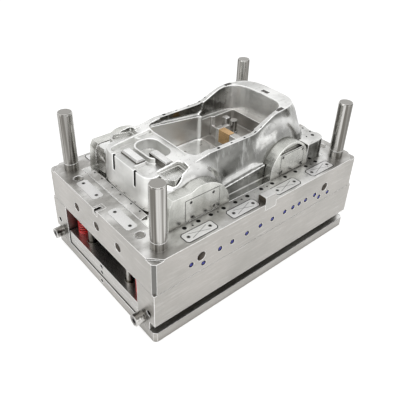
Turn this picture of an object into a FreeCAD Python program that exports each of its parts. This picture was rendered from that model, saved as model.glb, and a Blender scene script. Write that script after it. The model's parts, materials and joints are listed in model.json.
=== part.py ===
import FreeCAD, Part
import Sketcher
import math
import os
import re

# Core half of an injection mould for a large shell with four wheel arches.
# Units are millimetres. The origin is on the axis of the middle knock-out bore,
# in the bottom clamping face. X runs along the long side, Z is the opening direction.
# Heights whose name starts with form_ are measured from the parting face.

os.makedirs("parts", exist_ok=True)
doc = FreeCAD.newDocument("mould")

# Driving dimensions

SIZES = {
    # plates
    "plate_length": 1200,
    "plate_width": 800,
    "clamp_thick": 50,
    "clamp_corner": 12,
    "spacer_height": 210,
    "spacer_width": 115,
    "slot_height": 45,
    "slot_depth": 35,
    "core_thick": 160,
    "core_corner": 14,
    "pry_size": 34,
    "pry_depth": 7,
    # guide pillars
    "pillar_dia": 65,
    "pillar_reach": 280,
    "pillar_end": 75,
    "pillar_side": 70,
    "pillar_head_dia": 76,
    "pillar_head_thick": 16,
    "pillar_nose": 6,
    "pillar_groove_height": 35,
    "pillar_groove_width": 4,
    "pillar_groove_depth": 1,
    # ejector plates
    "eject_length": 1192,
    "eject_side_gap": 5,
    "eject_thick": 35,
    "retain_thick": 35,
    "stop_height": 5,
    "stop_dia": 32,
    "stop_x": 470,
    "stop_side": 50,
    # return pins and their springs
    "return_dia": 36,
    "return_x": 543,
    "return_side": 49,
    "return_head_dia": 44,
    "pin_head_thick": 10,
    "return_recess_dia": 44,
    "return_recess_depth": 3,
    "spring_outer": 54,
    "spring_inner": 39,
    "spring_pocket": 50,
    # ejector guides
    "guide_dia": 30,
    "guide_x": 550,
    "guide_side": 130,
    "guide_seat": 28,
    "bush_dia": 44,
    "bush_flange_dia": 52,
    "bush_flange_thick": 8,
    # support pillars
    "support_dia": 90,
    "support_x": 180,
    "support_side": 85,
    "support_end_x": 440,
    # clearances
    "slide_fit": 0.05,
    "bolt_fit": 0.2,
    "seat_fit": 0.1,
    "pass_gap": 4,
    # holes of the base
    "knock_dia": 50,
    "knock_pitch": 250,
    "knock_thread_dia": 24,
    "lift_dia": 42,
    "lift_depth": 60,
    "lift_depth_step": 4,
    "lift_drop": 85,
    "lift_end_pitch": 162,
    "lift_side_x": 375,
    "tap_dia": 20,
    "tap_depth": 40,
    # cooling ports
    "port_dia": 24,
    "port_depth": 36,
    "plug_length": 16,
    "port_upper_drop": 101,
    "port_lower_drop": 128,
    "port_a_x": -425,
    "port_b_x": -363,
    "port_c_x": -278,
    "port_d_x": -212,
    "port_e_x": -129,
    "port_f_x": -49,
    "port_g_x": 24,
    "port_h_x": 103,
    "port_i_x": 157,
    "port_j_x": 200,
    "port_k_x": 244,
    "port_l_x": 308,
    "port_m_x": 344,
    "port_n_x": 408,
    # feet
    "foot_dia": 50,
    "foot_length": 40,
    "foot_neck_dia": 38,
    "foot_neck_length": 8,
    "foot_side": 72,
    "foot_z": 102,
    "foot_hole_dia": 28,
    "foot_hole_side": 38,
    "foot_hole_z": 142,
    # clamp screws
    "screw_dia": 24,
    "screw_head_dia": 36,
    "screw_head_thick": 24,
    "screw_head_inset": 2,
    "screw_grip": 50,
    "screw_pitch": 310,
    "screw_start_x": 465,
    # ejector plate screws
    "plate_screw_dia": 16,
    "plate_screw_head_dia": 24,
    "plate_screw_head_thick": 16,
    "plate_screw_x": 390,
    "plate_screw_side": 30,
    # wear plates
    "wear_length": 150,
    "wear_width": 50,
    "wear_thick": 12,
    "wear_proud": 1,
    "wear_corner": 8,
    "wear_row_side": 41,
    "wear_row_shift": 7,
    "wear_inner_x": 129,
    "wear_outer_x": 361,
    "wear_end_x": 544,
    "wear_near_lock_gap": 23,
    "wear_near_pin_gap": 45,
    "wear_far_lock_gap": 42,
    "wear_far_pin_gap": 26,
    # locks
    "lock_length": 64,
    "lock_width": 44,
    "lock_height": 32,
    "lock_sink": 30,
    "lock_lead": 8,
    "end_lock_length": 44,
    "end_lock_width": 36,
    "end_lock_sink": 26,
    "end_lock_slot": 16,
    # inserts in the core plate
    "root_depth": 60,
    "root_front": 496,
    "root_rear": 484,
    "arch_face_y": 291,
    "front_seam_x": 130,
    # main form, plan at the parting face and at the top of the rim
    "form_height": 258,
    "body_front_foot": 460,
    "body_front_top": 450,
    "body_shoulder_x": 360,
    "body_shoulder_foot_y": 182,
    "body_shoulder_top_y": 158,
    "body_side_x": 330,
    "body_side_foot_y": 227,
    "body_side_top_y": 186,
    "body_tail_foot_x": 215,
    "body_tail_top_x": 180,
    "body_rear_foot": 464,
    "body_rear_top": 404,
    "haunch_foot_y": 275,
    "haunch_top_y": 190,
    "haunch_foot_x": 478,
    "haunch_top_x": 420,
    "haunch_bevel": 20,
    # main form, side view of the top
    "form_nose": 166,
    "form_cowl": 188,
    "form_cowl_x": 250,
    "form_side": 201,
    "form_side_x": 172,
    "form_rise_x": 60,
    "form_crown_x": 250,
    "rear_shoulder_drop": 30,
    # cockpit
    "rim_width": 18,
    "rim_rear_width": 84,
    "cockpit_front_x": 234,
    "cockpit_ledge_front": 186,
    "cockpit_ledge_rear": 132,
    "cockpit_corner_x": 150,
    "cockpit_side_x": 140,
    "cockpit_tail_x": 120,
    "cockpit_draft": 8,
    "well_front_x": 226,
    "well_half_width": 152,
    "well_floor": 28,
    "well_round": 30,
    "panel_depth": 6,
    "panel_rear_x": 104,
    "panel_ledge": 150,
    "bay_depth": 58,
    "bay_floor": 32,
    "bay_near_y": 44,
    "bay_far_y": 144,
    "bay_wall": 12,
    "bay_wall_top": 84,
    "partition_x": 80,
    "partition_thick": 34,
    "pit_floor": 66,
    "pit_rear_x": 276,
    "pit_half_width": 136,
    "pit_round": 12,
    "post_x": 194,
    "post_y": 97,
    "post_length": 26,
    "post_width": 30,
    # hood bowl and blocks on the hood
    "tray_front_x": 440,
    "tray_rear_x": 296,
    "tray_half_width": 132,
    "tray_floor": 146,
    "tray_corner": 24,
    "bowl_front_x": 348,
    "bowl_rear_x": 244,
    "bowl_near_y": 62,
    "bowl_far_y": 100,
    "bowl_wall": 9,
    "bowl_rim": 170,
    "bowl_floor": 118,
    "bowl_round": 45,
    "lamp_front_x": 396,
    "lamp_rear_x": 286,
    "lamp_inner_y": 142,
    "lamp_corner_y": 196,
    "lamp_tip_x": 369,
    "lamp_tip_y": 226,
    "lamp_side_x": 334,
    "lamp_side_y": 217,
    "lamp_outer_y": 204,
    "lamp_low": 118,
    "lamp_high": 168,
    "lamp_wall": 9,
    "lamp_recess": 14,
    "grille_x": 397,
    "grille_far_y": 74,
    "grille_width": 42,
    "grille_length": 116,
    "grille_sink": 2,
    "grille_height": 14,
    "grille_corner": 6,
    "column_x": 319,
    "column_y": 68,
    "column_width": 36,
    "column_length": 114,
    "column_height": 34,
    "column_corner": 4,
    "front_slot_y": 76,
    "front_slot_width": 12,
    "front_slot_foot": 95,
    "front_slot_depth": 16,
    # fender domes
    "arch_seat_y": 240,
    "front_arch_x": 286,
    "front_arch_rise": 0.5,
    "front_dome_lip": 149,
    "front_dome_top": 194,
    "dome_front_x": 436,
    "dome_inner_y": 178,
    "dome_core_y": 168,
    "rear_arch_x": 231,
    "rear_arch_rise": 32,
    "rear_dome_lip": 124,
    "rear_dome_top": 200,
    # arch inserts
    "front_arch_half": 149,
    "front_arch_front_x": 452,
    "front_arch_lean": 22,
    "front_arch_shoulder": 135,
    "front_arch_flat_x": 50,
    "rear_arch_radius": 120,
    "face_plate_thick": 20,
    "front_plate_front_x": 370,
    "front_plate_rear_x": 194,
    "front_plate_foot": 5,
    "front_plate_top": 107,
    "rear_plate_front_x": 168,
    "rear_lip": 10,
    "rear_dish_depth": 14,
    "rear_dish_gap": 4,
    "rear_plate_rear_x": 322,
    "rear_plate_top": 106,
    # sills and rear feet
    "sill_y": 252,
    "sill_inner_y": 205,
    "sill_front_x": 132,
    "sill_rear_x": 108,
    "sill_front_height": 44,
    "sill_rear_height": 66,
    "tail_foot_rear": 480,
    "tail_foot_inner_y": 130,
    "tail_foot_height": 100,
    "tail_foot_corner": 45,
    # base strip
    "strip_front_x": 494,
    "strip_rear_x": 461,
    "strip_far_y": 240,
    "strip_near_y": 168,
    "strip_front_height": 3,
    "strip_rear_height": 11,
    # brass insert and core pin
    "brass_near_y": 46,
    "brass_far_y": 24,
    "core_pin_dia": 34,
    "core_pin_height": 62,
    "core_pin_ring_dia": 46,
    "core_pin_ring_height": 5,
    "core_pin_x": 207,
    "core_pin_y": 57,
    # ejector pins and blades
    "pin_dia": 12,
    "pin_head_dia": 18,
    "well_pin_front_x": 170,
    "well_pin_middle_x": 60,
    "well_pin_rear_x": 40,
    "well_pin_y": 96,
    "pit_pin_x": 225,
    "pit_pin_y": 90,
    "tail_pin_x": 415,
    "tail_pin_inset": 85,
    "blade_length": 36,
    "blade_width": 15,
    "blade_corner": 3,
    "blade_side_x": 262,
    "blade_side_y": 170,
    "blade_rear_x": 347,
}

dims = doc.addObject("Spreadsheet::Sheet", "Dims")
for row, (alias, number) in enumerate(SIZES.items(), start=1):
    dims.set(f"A{row}", alias)
    dims.set(f"B{row}", str(number))
    dims.setAlias(f"B{row}", alias)
doc.recompute()

# Heights of the stack, built from the sheet

BOTTOM = "clamp_thick"
EJECT_LOW = f"({BOTTOM} + stop_height)"
RETAIN_LOW = f"({EJECT_LOW} + eject_thick)"
RETAIN_TOP = f"({RETAIN_LOW} + retain_thick)"
CORE_LOW = f"({BOTTOM} + spacer_height)"
PARTING = f"({CORE_LOW} + core_thick)"
ROOT_LOW = f"({PARTING} - root_depth)"
HALF_LENGTH = "(plate_length / 2)"
HALF_WIDTH = "(plate_width / 2)"
SPACER_FACE = f"({HALF_WIDTH} - spacer_width)"
SPACER_MIDDLE = f"({HALF_WIDTH} - spacer_width / 2)"
PILLAR_X = f"({HALF_LENGTH} - pillar_end)"
PILLAR_Y = f"({HALF_WIDTH} - pillar_side)"
RETURN_Y = f"({SPACER_FACE} - return_side)"
GUIDE_Y = f"({SPACER_FACE} - guide_side)"
SUPPORT_Y = f"({SPACER_FACE} - support_side)"
STOP_Y = f"({SPACER_FACE} - stop_side)"
PLATE_SCREW_Y = f"({SPACER_FACE} - plate_screw_side)"
FOOT_Y = f"({HALF_WIDTH} - foot_side)"
WEAR_ROW_Y = f"({HALF_WIDTH} - wear_row_side)"
TAIL_PIN_Y = "(tail_foot_inner_y + tail_pin_inset)"
RIM_INNER_Y = "(body_side_top_y - rim_width)"
RIM_INNER_X = "(body_rear_top - rim_rear_width)"


def linked(text):
    """Expression text with every size name pointing at the sheet."""
    return re.sub(r"\b([a-z]+(?:_[a-z]+)+)\b", r"Dims.\1", str(text))


def number(text):
    """Present value of an expression, used for the first shape of a sketch."""
    return float(dims.evalExpression(str(text)))


def bind(item, **sizes):
    for field, text in sizes.items():
        item.setExpression(field, linked(text))


def place(item, x="0", y="0", z="0"):
    for axis, text in (("x", x), ("y", y), ("z", z)):
        item.setExpression(f"Placement.Base.{axis}", linked(text))
    return item


# Plain forms

def block(name, x, y, z):
    """Box between pairs of face positions."""
    box = doc.addObject("Part::Box", name)
    bind(box, Length=f"{x[1]} - ({x[0]})", Width=f"{y[1]} - ({y[0]})", Height=f"{z[1]} - ({z[0]})")
    return place(box, x[0], y[0], z[0])


def rod(name, dia, x, y, low, high):
    """Upright cylinder."""
    round_bar = doc.addObject("Part::Cylinder", name)
    bind(round_bar, Radius=f"({dia}) / 2", Height=f"({high}) - ({low})")
    return place(round_bar, x, y, low)


def bar(name, dia, direction, x, y, z, length):
    """Cylinder that lies along X or Y from its start point."""
    round_bar = doc.addObject("Part::Cylinder", name)
    bind(round_bar, Radius=f"({dia}) / 2", Height=length)
    turn = FreeCAD.Rotation(FreeCAD.Vector(0, 0, 1), FreeCAD.Vector(*direction))
    round_bar.Placement = FreeCAD.Placement(FreeCAD.Vector(0, 0, 0), turn)
    return place(round_bar, x, y, z)


def fuse(name, items):
    union = doc.addObject("Part::MultiFuse", name)
    union.Shapes = items
    union.Refine = False
    return union


def common(name, items):
    overlap = doc.addObject("Part::MultiCommon", name)
    overlap.Shapes = items
    return overlap


def group(name, items):
    """Separate solids kept together in one node."""
    together = doc.addObject("Part::Compound", name)
    together.Links = items
    return together


def cut(name, base, tools):
    """Base less its tools, which are joined first."""
    tool = tools[0] if len(tools) == 1 else fuse(f"{name}_tools", tools)
    rest = doc.addObject("Part::Cut", name)
    rest.Base = base
    rest.Tool = tool
    rest.Refine = False
    return rest


def mirror(name, source, normal=(0, 1, 0)):
    image = doc.addObject("Part::Mirroring", name)
    image.Source = source
    image.Normal = normal
    image.Base = (0, 0, 0)
    return image


# Sketched forms

def origin_part(body, role):
    return next(item for item in body.Origin.OriginFeatures if item.Role == role)


def outline(body, name, plane, corners):
    """Closed sketch through corners, each tied to the sheet in both directions."""
    sketch = body.newObject("Sketcher::SketchObject", name)
    sketch.AttachmentSupport = [(origin_part(body, plane), "")]
    sketch.MapMode = "FlatFace"
    points = [FreeCAD.Vector(number(x), number(y), 0) for x, y in corners]
    count = len(points)
    for index, point in enumerate(points):
        sketch.addGeometry(Part.LineSegment(point, points[(index + 1) % count]), False)
    for index in range(count):
        joint = Sketcher.Constraint("Coincident", index, 2, (index + 1) % count, 1)
        sketch.addConstraint(joint)
    for index, (x, y) in enumerate(corners):
        for kind, text in (("DistanceX", x), ("DistanceY", y)):
            rule = Sketcher.Constraint(kind, -1, 1, index, 1, number(text))
            place_in_list = sketch.addConstraint(rule)
            sketch.setExpression(f"Constraints[{place_in_list}]", linked(text))
    return sketch


def new_body(name, x="0", y="0", z="0"):
    return place(doc.addObject("PartDesign::Body", name), x, y, z)


def pad(body, name, plane, corners, length, taper="0", backwards=False):
    """Pad of a closed outline away from its plane."""
    feature = body.newObject("PartDesign::Pad", name)
    feature.Profile = outline(body, f"{name}_outline", plane, corners)
    feature.Reversed = backwards
    bind(feature, Length=length, TaperAngle=taper)
    doc.recompute()
    return feature


def upright_edges(shape):
    """Names of the edges that rise more than they run."""
    found = []
    for index, edge in enumerate(shape.Edges, start=1):
        box = edge.BoundBox
        if box.ZLength > max(box.XLength, box.YLength):
            found.append(f"Edge{index}")
    return found


def round_edges(body, name, base, edges, radius):
    feature = body.newObject("PartDesign::Fillet", name)
    feature.Base = (base, edges)
    bind(feature, Radius=radius)
    body.Tip = feature
    doc.recompute()
    return feature


def bevel_edges(body, name, base, edges, size):
    feature = body.newObject("PartDesign::Chamfer", name)
    feature.Base = (base, edges)
    bind(feature, Size=size)
    body.Tip = feature
    doc.recompute()
    return feature


def rectangle(x, y):
    return [(x[0], y[0]), (x[1], y[0]), (x[1], y[1]), (x[0], y[1])]


def turned(name, profile, x, y, z):
    """Body turned about the upright axis from a radius and height profile."""
    body = new_body(name, x, y, z)
    feature = body.newObject("PartDesign::Revolution", f"{name}_turn")
    feature.Profile = outline(body, f"{name}_profile", "XZ_Plane", profile)
    feature.ReferenceAxis = (origin_part(body, "Z_Axis"), [""])
    feature.Angle = 360
    doc.recompute()
    return body


def spread(x_list, y_list):
    return [(x, y) for x in x_list for y in y_list]


def both(text):
    return [f"-({text})", f"{text}"]


NODES = []


def node(item, label):
    """Declare a finished piece under its node name."""
    item.Label = label
    NODES.append(item)
    return item


# Places that several plates share

pillar_places = spread(both(PILLAR_X), both(PILLAR_Y))
return_places = spread(both("return_x"), both(RETURN_Y))
guide_places = spread(both("guide_x"), both(GUIDE_Y))
support_places = spread(both("support_x"), both(SUPPORT_Y)) + spread(both("support_end_x"), ["0"])
screw_columns = [f"(screw_start_x - {step} * screw_pitch)" for step in range(4)]
screw_places = spread(screw_columns, both(SPACER_MIDDLE))
knock_places = [("-(knock_pitch)", "0"), ("0", "0"), ("knock_pitch", "0")]
plate_screw_places = spread(both("plate_screw_x") + ["0"], both(PLATE_SCREW_Y))

# Every ejector pin: place and height of its tip above the parting face
pin_tips = []
for pin_x in ("-(well_pin_front_x)", "-(well_pin_middle_x)", "well_pin_rear_x"):
    pin_tips += [(pin_x, pin_y, "well_floor") for pin_y in both("well_pin_y")]
pin_tips += [("pit_pin_x", pin_y, "pit_floor") for pin_y in both("pit_pin_y")]
pin_tips += [("tail_pin_x", pin_y, "tail_foot_height") for pin_y in both(TAIL_PIN_Y)]
blade_places = [("blade_side_x", blade_y, False) for blade_y in both("blade_side_y")]
blade_places += [("blade_rear_x", "0", True)]


def rods(name, places, dia, low, high):
    return [rod(f"{name}_{index}", dia, x, y, low, high) for index, (x, y) in enumerate(places, start=1)]


def blade(name, x, y, across, grow, low, high):
    """Flat bar with bevelled corners, its long side along X or across it."""
    body = new_body(name, x, y, low)
    long_half = f"(blade_length / 2 + {grow})"
    short_half = f"(blade_width / 2 + {grow})"
    half_x = short_half if across else long_half
    half_y = long_half if across else short_half
    plan = rectangle(both(half_x), both(half_y))
    feature = pad(body, f"{name}_pad", "XY_Plane", plan, f"({high}) - ({low})")
    bevel_edges(body, f"{name}_bevel", feature, upright_edges(feature.Shape), "blade_corner")
    return body


def blades(name, grow, low, high):
    made = []
    for index, (x, y, across) in enumerate(blade_places, start=1):
        made.append(blade(f"{name}_{index}", x, y, across, grow, low, high))
    return made


# Bottom clamp plate

body = new_body("clamp_blank")
feature = pad(body, "clamp_pad", "XY_Plane", rectangle(both(HALF_LENGTH), both(HALF_WIDTH)), "clamp_thick")
bevel_edges(body, "clamp_bevel", feature, upright_edges(feature.Shape), "clamp_corner")
tools = rods("clamp_knock", knock_places, "knock_dia", "-1", f"2 * {BOTTOM}")
tools += rods("clamp_screw_bore", screw_places, "screw_dia + 2 * bolt_fit", "-1", f"2 * {BOTTOM}")
head_top = "(screw_head_inset + screw_head_thick)"
tools += rods("clamp_head_bore", screw_places, "screw_head_dia + 2 * bolt_fit", "-1", head_top)
tools += rods("clamp_guide_seat", guide_places, "guide_dia", f"{BOTTOM} - guide_seat", f"2 * {BOTTOM}")
tools.append(bar("clamp_tap", "tap_dia", (1, 0, 0), f"-{HALF_LENGTH}", "0", "clamp_thick / 2", "tap_depth"))
node(cut("clamp_cut", body, tools), "bottom_clamp_plate")

# Spacer blocks, the near one sketched and the far one its mirror

body = new_body("spacer_blank", f"-{HALF_LENGTH}", "0", BOTTOM)
section = [
    (f"-{SPACER_FACE}", "0"),
    (f"-{SPACER_FACE}", "spacer_height"),
    (f"-{HALF_WIDTH}", "spacer_height"),
    (f"-{HALF_WIDTH}", "slot_height"),
    (f"-{HALF_WIDTH} + slot_depth", "slot_height"),
    (f"-{HALF_WIDTH} + slot_depth", "0"),
]
pad(body, "spacer_pad", "YZ_Plane", section, "plate_length")
near_screws = [(x, f"-{SPACER_MIDDLE}") for x in screw_columns]
tools = rods("spacer_bore", near_screws, "screw_dia + 2 * bolt_fit", "0", f"{PARTING}")
tools.append(
    bar("spacer_foot_hole", "foot_hole_dia", (1, 0, 0), f"-{HALF_LENGTH}", f"-{HALF_WIDTH} + foot_hole_side",
        "foot_hole_z", "tap_depth")
)
spacer = node(cut("spacer_cut", body, tools), "spacer_block_near")
node(mirror("spacer_image", spacer), "spacer_block_far")

# Core plate

body = new_body("core_blank", "0", "0", CORE_LOW)
feature = pad(body, "core_pad", "XY_Plane", rectangle(both(HALF_LENGTH), both(HALF_WIDTH)), "core_thick")
bevel_edges(body, "core_bevel", feature, upright_edges(feature.Shape), "core_corner")
above = f"({PARTING} + 1)"
below = f"({CORE_LOW} - 1)"
tools = rods("pillar_bore", pillar_places, "pillar_dia", below, above)
tools += rods("pillar_head_bore", pillar_places, "pillar_head_dia + 2 * bolt_fit", below,
              f"{CORE_LOW} + pillar_head_thick")
tools += rods("return_bore", return_places, "return_dia + 2 * slide_fit", below, above)
tools += rods("return_recess", return_places, "return_recess_dia", f"{PARTING} - return_recess_depth", above)
tools += rods("spring_bore", return_places, "spring_outer + 2", below, f"{CORE_LOW} + spring_pocket")
tools += rods("guide_bore", guide_places, "guide_dia", below, f"{CORE_LOW} + guide_seat")
tools += rods("core_screw_bore", screw_places, "screw_dia", below, f"{CORE_LOW} + screw_grip")
tools.append(
    block("insert_pocket", ("-(root_front + seat_fit)", "root_rear + seat_fit"),
          both("(arch_face_y + seat_fit)"), (ROOT_LOW, above))
)
for index, (pin_x, pin_y, tip) in enumerate(pin_tips, start=1):
    tools.append(rod(f"core_pin_bore_{index}", "pin_dia + 2 * slide_fit", pin_x, pin_y, below, above))
tools += blades("core_blade_bore", "slide_fit", below, above)
lift_z = f"({PARTING} - lift_drop)"
for index, lift_y in enumerate(("-(lift_end_pitch)", "0", "lift_end_pitch")):
    deep = f"lift_depth + {index} * lift_depth_step"
    tools.append(bar(f"lift_front_{index}", "lift_dia", (1, 0, 0), f"-{HALF_LENGTH}", lift_y, lift_z, deep))
    tools.append(bar(f"lift_back_{index}", "lift_dia", (-1, 0, 0), f"{HALF_LENGTH}", lift_y, lift_z, deep))
for index, lift_x in enumerate(both("lift_side_x")):
    deep = f"lift_depth + {index} * lift_depth_step"
    tools.append(bar(f"lift_near_{index}", "lift_dia", (0, 1, 0), lift_x, f"-{HALF_WIDTH}", lift_z, deep))
    tools.append(bar(f"lift_far_{index}", "lift_dia", (0, -1, 0), lift_x, f"{HALF_WIDTH}", lift_z, deep))

# Cooling ports on the near side, each at one of two heights
LOWER_PORTS = "bmn"
plugs = []
for letter in "abcdefghijklmn":
    port_x = f"port_{letter}_x"
    level = "port_lower_drop" if letter in LOWER_PORTS else "port_upper_drop"
    port_z = f"{PARTING} - {level}"
    start_y = f"-{HALF_WIDTH}"
    tools.append(bar(f"port_{letter}", "port_dia", (0, 1, 0), port_x, start_y, port_z, "port_depth"))
    plugs.append(bar(f"plug_{letter}", "port_dia", (0, 1, 0), port_x, start_y, port_z, "plug_length"))

# Seats of the wear plates and locks
wear_low = f"({PARTING} + wear_proud - wear_thick)"


def wear_body(name, x, y, size_x, size_y):
    """Wear plate with bevelled corners."""
    body = new_body(name, x, y, wear_low)
    plan = rectangle(both(f"({size_x}) / 2"), both(f"({size_y}) / 2"))
    feature = pad(body, f"{name}_pad", "XY_Plane", plan, "wear_thick")
    bevel_edges(body, f"{name}_bevel", feature, upright_edges(feature.Shape), "wear_corner")
    return body


wear_columns = ["wear_row_shift - wear_outer_x", "wear_row_shift - wear_inner_x",
                "wear_row_shift + wear_inner_x", "wear_row_shift + wear_outer_x"]
for side, row_y in (("near", f"-{WEAR_ROW_Y}"), ("far", WEAR_ROW_Y)):
    for index, column_x in enumerate(wear_columns, start=1):
        plate = wear_body(f"wear_{side}_body_{index}", column_x, row_y, "wear_length", "wear_width")
        tools.append(node(plate, f"wear_plate_{side}_{index}"))

# End wear plates fill the room between the end lock and the return pins
near_stretch = (f"-({RETURN_Y} - wear_near_pin_gap)", "-(end_lock_width / 2 + wear_near_lock_gap)")
far_stretch = ("end_lock_width / 2 + wear_far_lock_gap", f"{RETURN_Y} - wear_far_pin_gap")
for end, end_x in (("front", "-wear_end_x"), ("rear", "wear_end_x")):
    pair = []
    for side, (low_y, high_y) in (("near", near_stretch), ("far", far_stretch)):
        middle_y = f"(({low_y}) + ({high_y})) / 2"
        reach_y = f"{high_y} - ({low_y})"
        pair.append(wear_body(f"wear_{end}_body_{side}", end_x, middle_y, "wear_width", reach_y))
    node(group(f"wear_{end}_group", pair), f"wear_plates_{end}")
    tools += pair

side_lock_low = f"({PARTING} - lock_sink)"
side_lock_x = ("-lock_length / 2", "lock_length / 2")
tools.append(block("side_lock_seat_near", side_lock_x,
                   (f"-{HALF_WIDTH} - 1", f"-{HALF_WIDTH} + lock_width"), (side_lock_low, above)))
tools.append(block("side_lock_seat_far", side_lock_x,
                   (f"{HALF_WIDTH} - lock_width", f"{HALF_WIDTH} + 1"), (side_lock_low, above)))
end_lock_low = f"({PARTING} - end_lock_sink)"
end_lock_y = ("-end_lock_width / 2", "end_lock_width / 2")
tools.append(block("end_lock_seat_front", (f"-{HALF_LENGTH} - 1", f"-{HALF_LENGTH} + end_lock_length"),
                   end_lock_y, (end_lock_low, above)))
tools.append(block("end_lock_seat_rear", (f"{HALF_LENGTH} - end_lock_length", f"{HALF_LENGTH} + 1"),
                   end_lock_y, (end_lock_low, above)))

# Pry notches at the four top corners
for index, (corner_x, corner_y) in enumerate(spread(both(HALF_LENGTH), both(HALF_WIDTH)), start=1):
    notch = block(f"pry_notch_{index}", ("-pry_size", "pry_size"), ("-pry_size", "pry_size"),
                  (f"{PARTING} - pry_depth", above))
    notch.Placement = FreeCAD.Placement(FreeCAD.Vector(0, 0, 0), FreeCAD.Rotation(45, 0, 0))
    place(notch, corner_x, f"{corner_y} - pry_size * sqrt(2)", f"{PARTING} - pry_depth")
    tools.append(notch)
node(cut("core_cut", body, tools), "core_plate")
node(group("water_plug_group", plugs), "water_port_plugs")

# Side and end locks

section = [
    (f"-{HALF_WIDTH}", "0"),
    (f"-{HALF_WIDTH} + lock_width", "0"),
    (f"-{HALF_WIDTH} + lock_width", "lock_sink + lock_height - lock_lead"),
    (f"-{HALF_WIDTH} + lock_width - lock_lead / 2", "lock_sink + lock_height"),
    (f"-{HALF_WIDTH} + lock_lead / 2", "lock_sink + lock_height"),
    (f"-{HALF_WIDTH}", "lock_sink + lock_height - lock_lead"),
]
body = new_body("side_lock_body", "-lock_length / 2", "0", side_lock_low)
pad(body, "side_lock_pad", "YZ_Plane", section, "lock_length")
side_lock = node(body, "side_lock_near")
node(mirror("side_lock_image", side_lock), "side_lock_far")

block_x = (f"-{HALF_LENGTH}", f"-{HALF_LENGTH} + end_lock_length")
lock_blank = block("end_lock_blank", block_x, end_lock_y, (end_lock_low, PARTING))
lock_slot = block("end_lock_slot_tool", (f"-{HALF_LENGTH} - 1", f"-{HALF_LENGTH} + end_lock_length * 0.7"),
                  ("-end_lock_slot / 2", "end_lock_slot / 2"), (f"{end_lock_low} + end_lock_sink / 3", above))
end_lock = node(cut("end_lock_cut", lock_blank, [lock_slot]), "end_lock_front")
node(mirror("end_lock_image", end_lock, (1, 0, 0)), "end_lock_rear")

# Guide pillars: head, fitted shank, groove and bevelled nose

pillar_radius = "pillar_dia / 2"
pillar_top = "(core_thick + pillar_reach)"
groove_foot = "(core_thick + pillar_groove_height)"
pillar_profile = [
    ("0", "0"),
    ("pillar_head_dia / 2", "0"),
    ("pillar_head_dia / 2", "pillar_head_thick"),
    (pillar_radius, "pillar_head_thick"),
    (pillar_radius, groove_foot),
    (f"{pillar_radius} - pillar_groove_depth", groove_foot),
    (f"{pillar_radius} - pillar_groove_depth", f"{groove_foot} + pillar_groove_width"),
    (pillar_radius, f"{groove_foot} + pillar_groove_width"),
    (pillar_radius, f"{pillar_top} - pillar_nose"),
    (f"{pillar_radius} - pillar_nose / 2", pillar_top),
    ("0", pillar_top),
]
for index, (x, y) in enumerate(pillar_places, start=1):
    node(turned(f"pillar_body_{index}", pillar_profile, x, y, CORE_LOW), f"guide_pillar_{index}")

# Ejector plates

EJECT_HALF_WIDTH = f"({SPACER_FACE} - eject_side_gap)"
eject_plan = rectangle(both("eject_length / 2"), both(EJECT_HALF_WIDTH))


def eject_plate(name, thick, low, own_tools, tap_z):
    body = new_body(f"{name}_blank", "0", "0", low)
    pad(body, f"{name}_pad", "XY_Plane", eject_plan, thick)
    wide = f"{low} - 1"
    high = f"{low} + {thick} + 1"
    tools = rods(f"{name}_support", support_places, "support_dia + 2 * pass_gap", wide, high)
    tools.append(bar(f"{name}_tap", "tap_dia", (1, 0, 0), "-eject_length / 2", "0", tap_z, "tap_depth"))
    return node(cut(f"{name}_cut", body, tools + own_tools), name)


flange_seat = f"({EJECT_LOW} + bush_flange_thick)"
own = rods("eject_bush", guide_places, "bush_dia", EJECT_LOW, above)
own += rods("eject_flange", guide_places, "bush_flange_dia", f"{EJECT_LOW} - 1", flange_seat)
own += rods("eject_knock", knock_places, "knock_thread_dia", f"{EJECT_LOW} - 1", above)
own += rods("eject_screw", plate_screw_places, "plate_screw_dia + 2 * bolt_fit", f"{EJECT_LOW} - 1", above)
own += rods("eject_screw_head", plate_screw_places, "plate_screw_head_dia + 2 * bolt_fit",
            f"{EJECT_LOW} - 1", f"{EJECT_LOW} + plate_screw_head_thick")
eject_plate("ejector_plate", "eject_thick", EJECT_LOW, own, f"{EJECT_LOW} + eject_thick / 2")

head_seat = f"({RETAIN_LOW} + pin_head_thick)"
own = rods("retain_bush", guide_places, "bush_dia", f"{RETAIN_LOW} - 1", above)
own += rods("retain_return", return_places, "return_dia + 2 * bolt_fit", f"{RETAIN_LOW} - 1", above)
own += rods("retain_return_head", return_places, "return_head_dia + 2 * bolt_fit",
            f"{RETAIN_LOW} - 1", head_seat)
own += rods("retain_screw", plate_screw_places, "plate_screw_dia", f"{RETAIN_LOW} - 1",
            f"{RETAIN_TOP} - pin_head_thick")
for index, (pin_x, pin_y, tip) in enumerate(pin_tips, start=1):
    own.append(rod(f"retain_pin_{index}", "pin_dia + 2 * bolt_fit", pin_x, pin_y, f"{RETAIN_LOW} - 1", above))
    own.append(rod(f"retain_pin_head_{index}", "pin_head_dia + 2 * bolt_fit", pin_x, pin_y,
                   f"{RETAIN_LOW} - 1", head_seat))
own += blades("retain_blade", "bolt_fit", f"{RETAIN_LOW} - 1", above)
eject_plate("ejector_retainer_plate", "retain_thick", RETAIN_LOW, own, f"{RETAIN_LOW} + retain_thick / 2")

# Return pins, ejector pins and blades, all held under the retainer plate

return_profile = [
    ("0", "0"),
    ("return_head_dia / 2", "0"),
    ("return_head_dia / 2", "pin_head_thick"),
    ("return_dia / 2", "pin_head_thick"),
    ("return_dia / 2", f"{PARTING} - {RETAIN_LOW}"),
    ("0", f"{PARTING} - {RETAIN_LOW}"),
]
for index, (x, y) in enumerate(return_places, start=1):
    node(turned(f"return_body_{index}", return_profile, x, y, RETAIN_LOW), f"return_pin_{index}")

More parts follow.
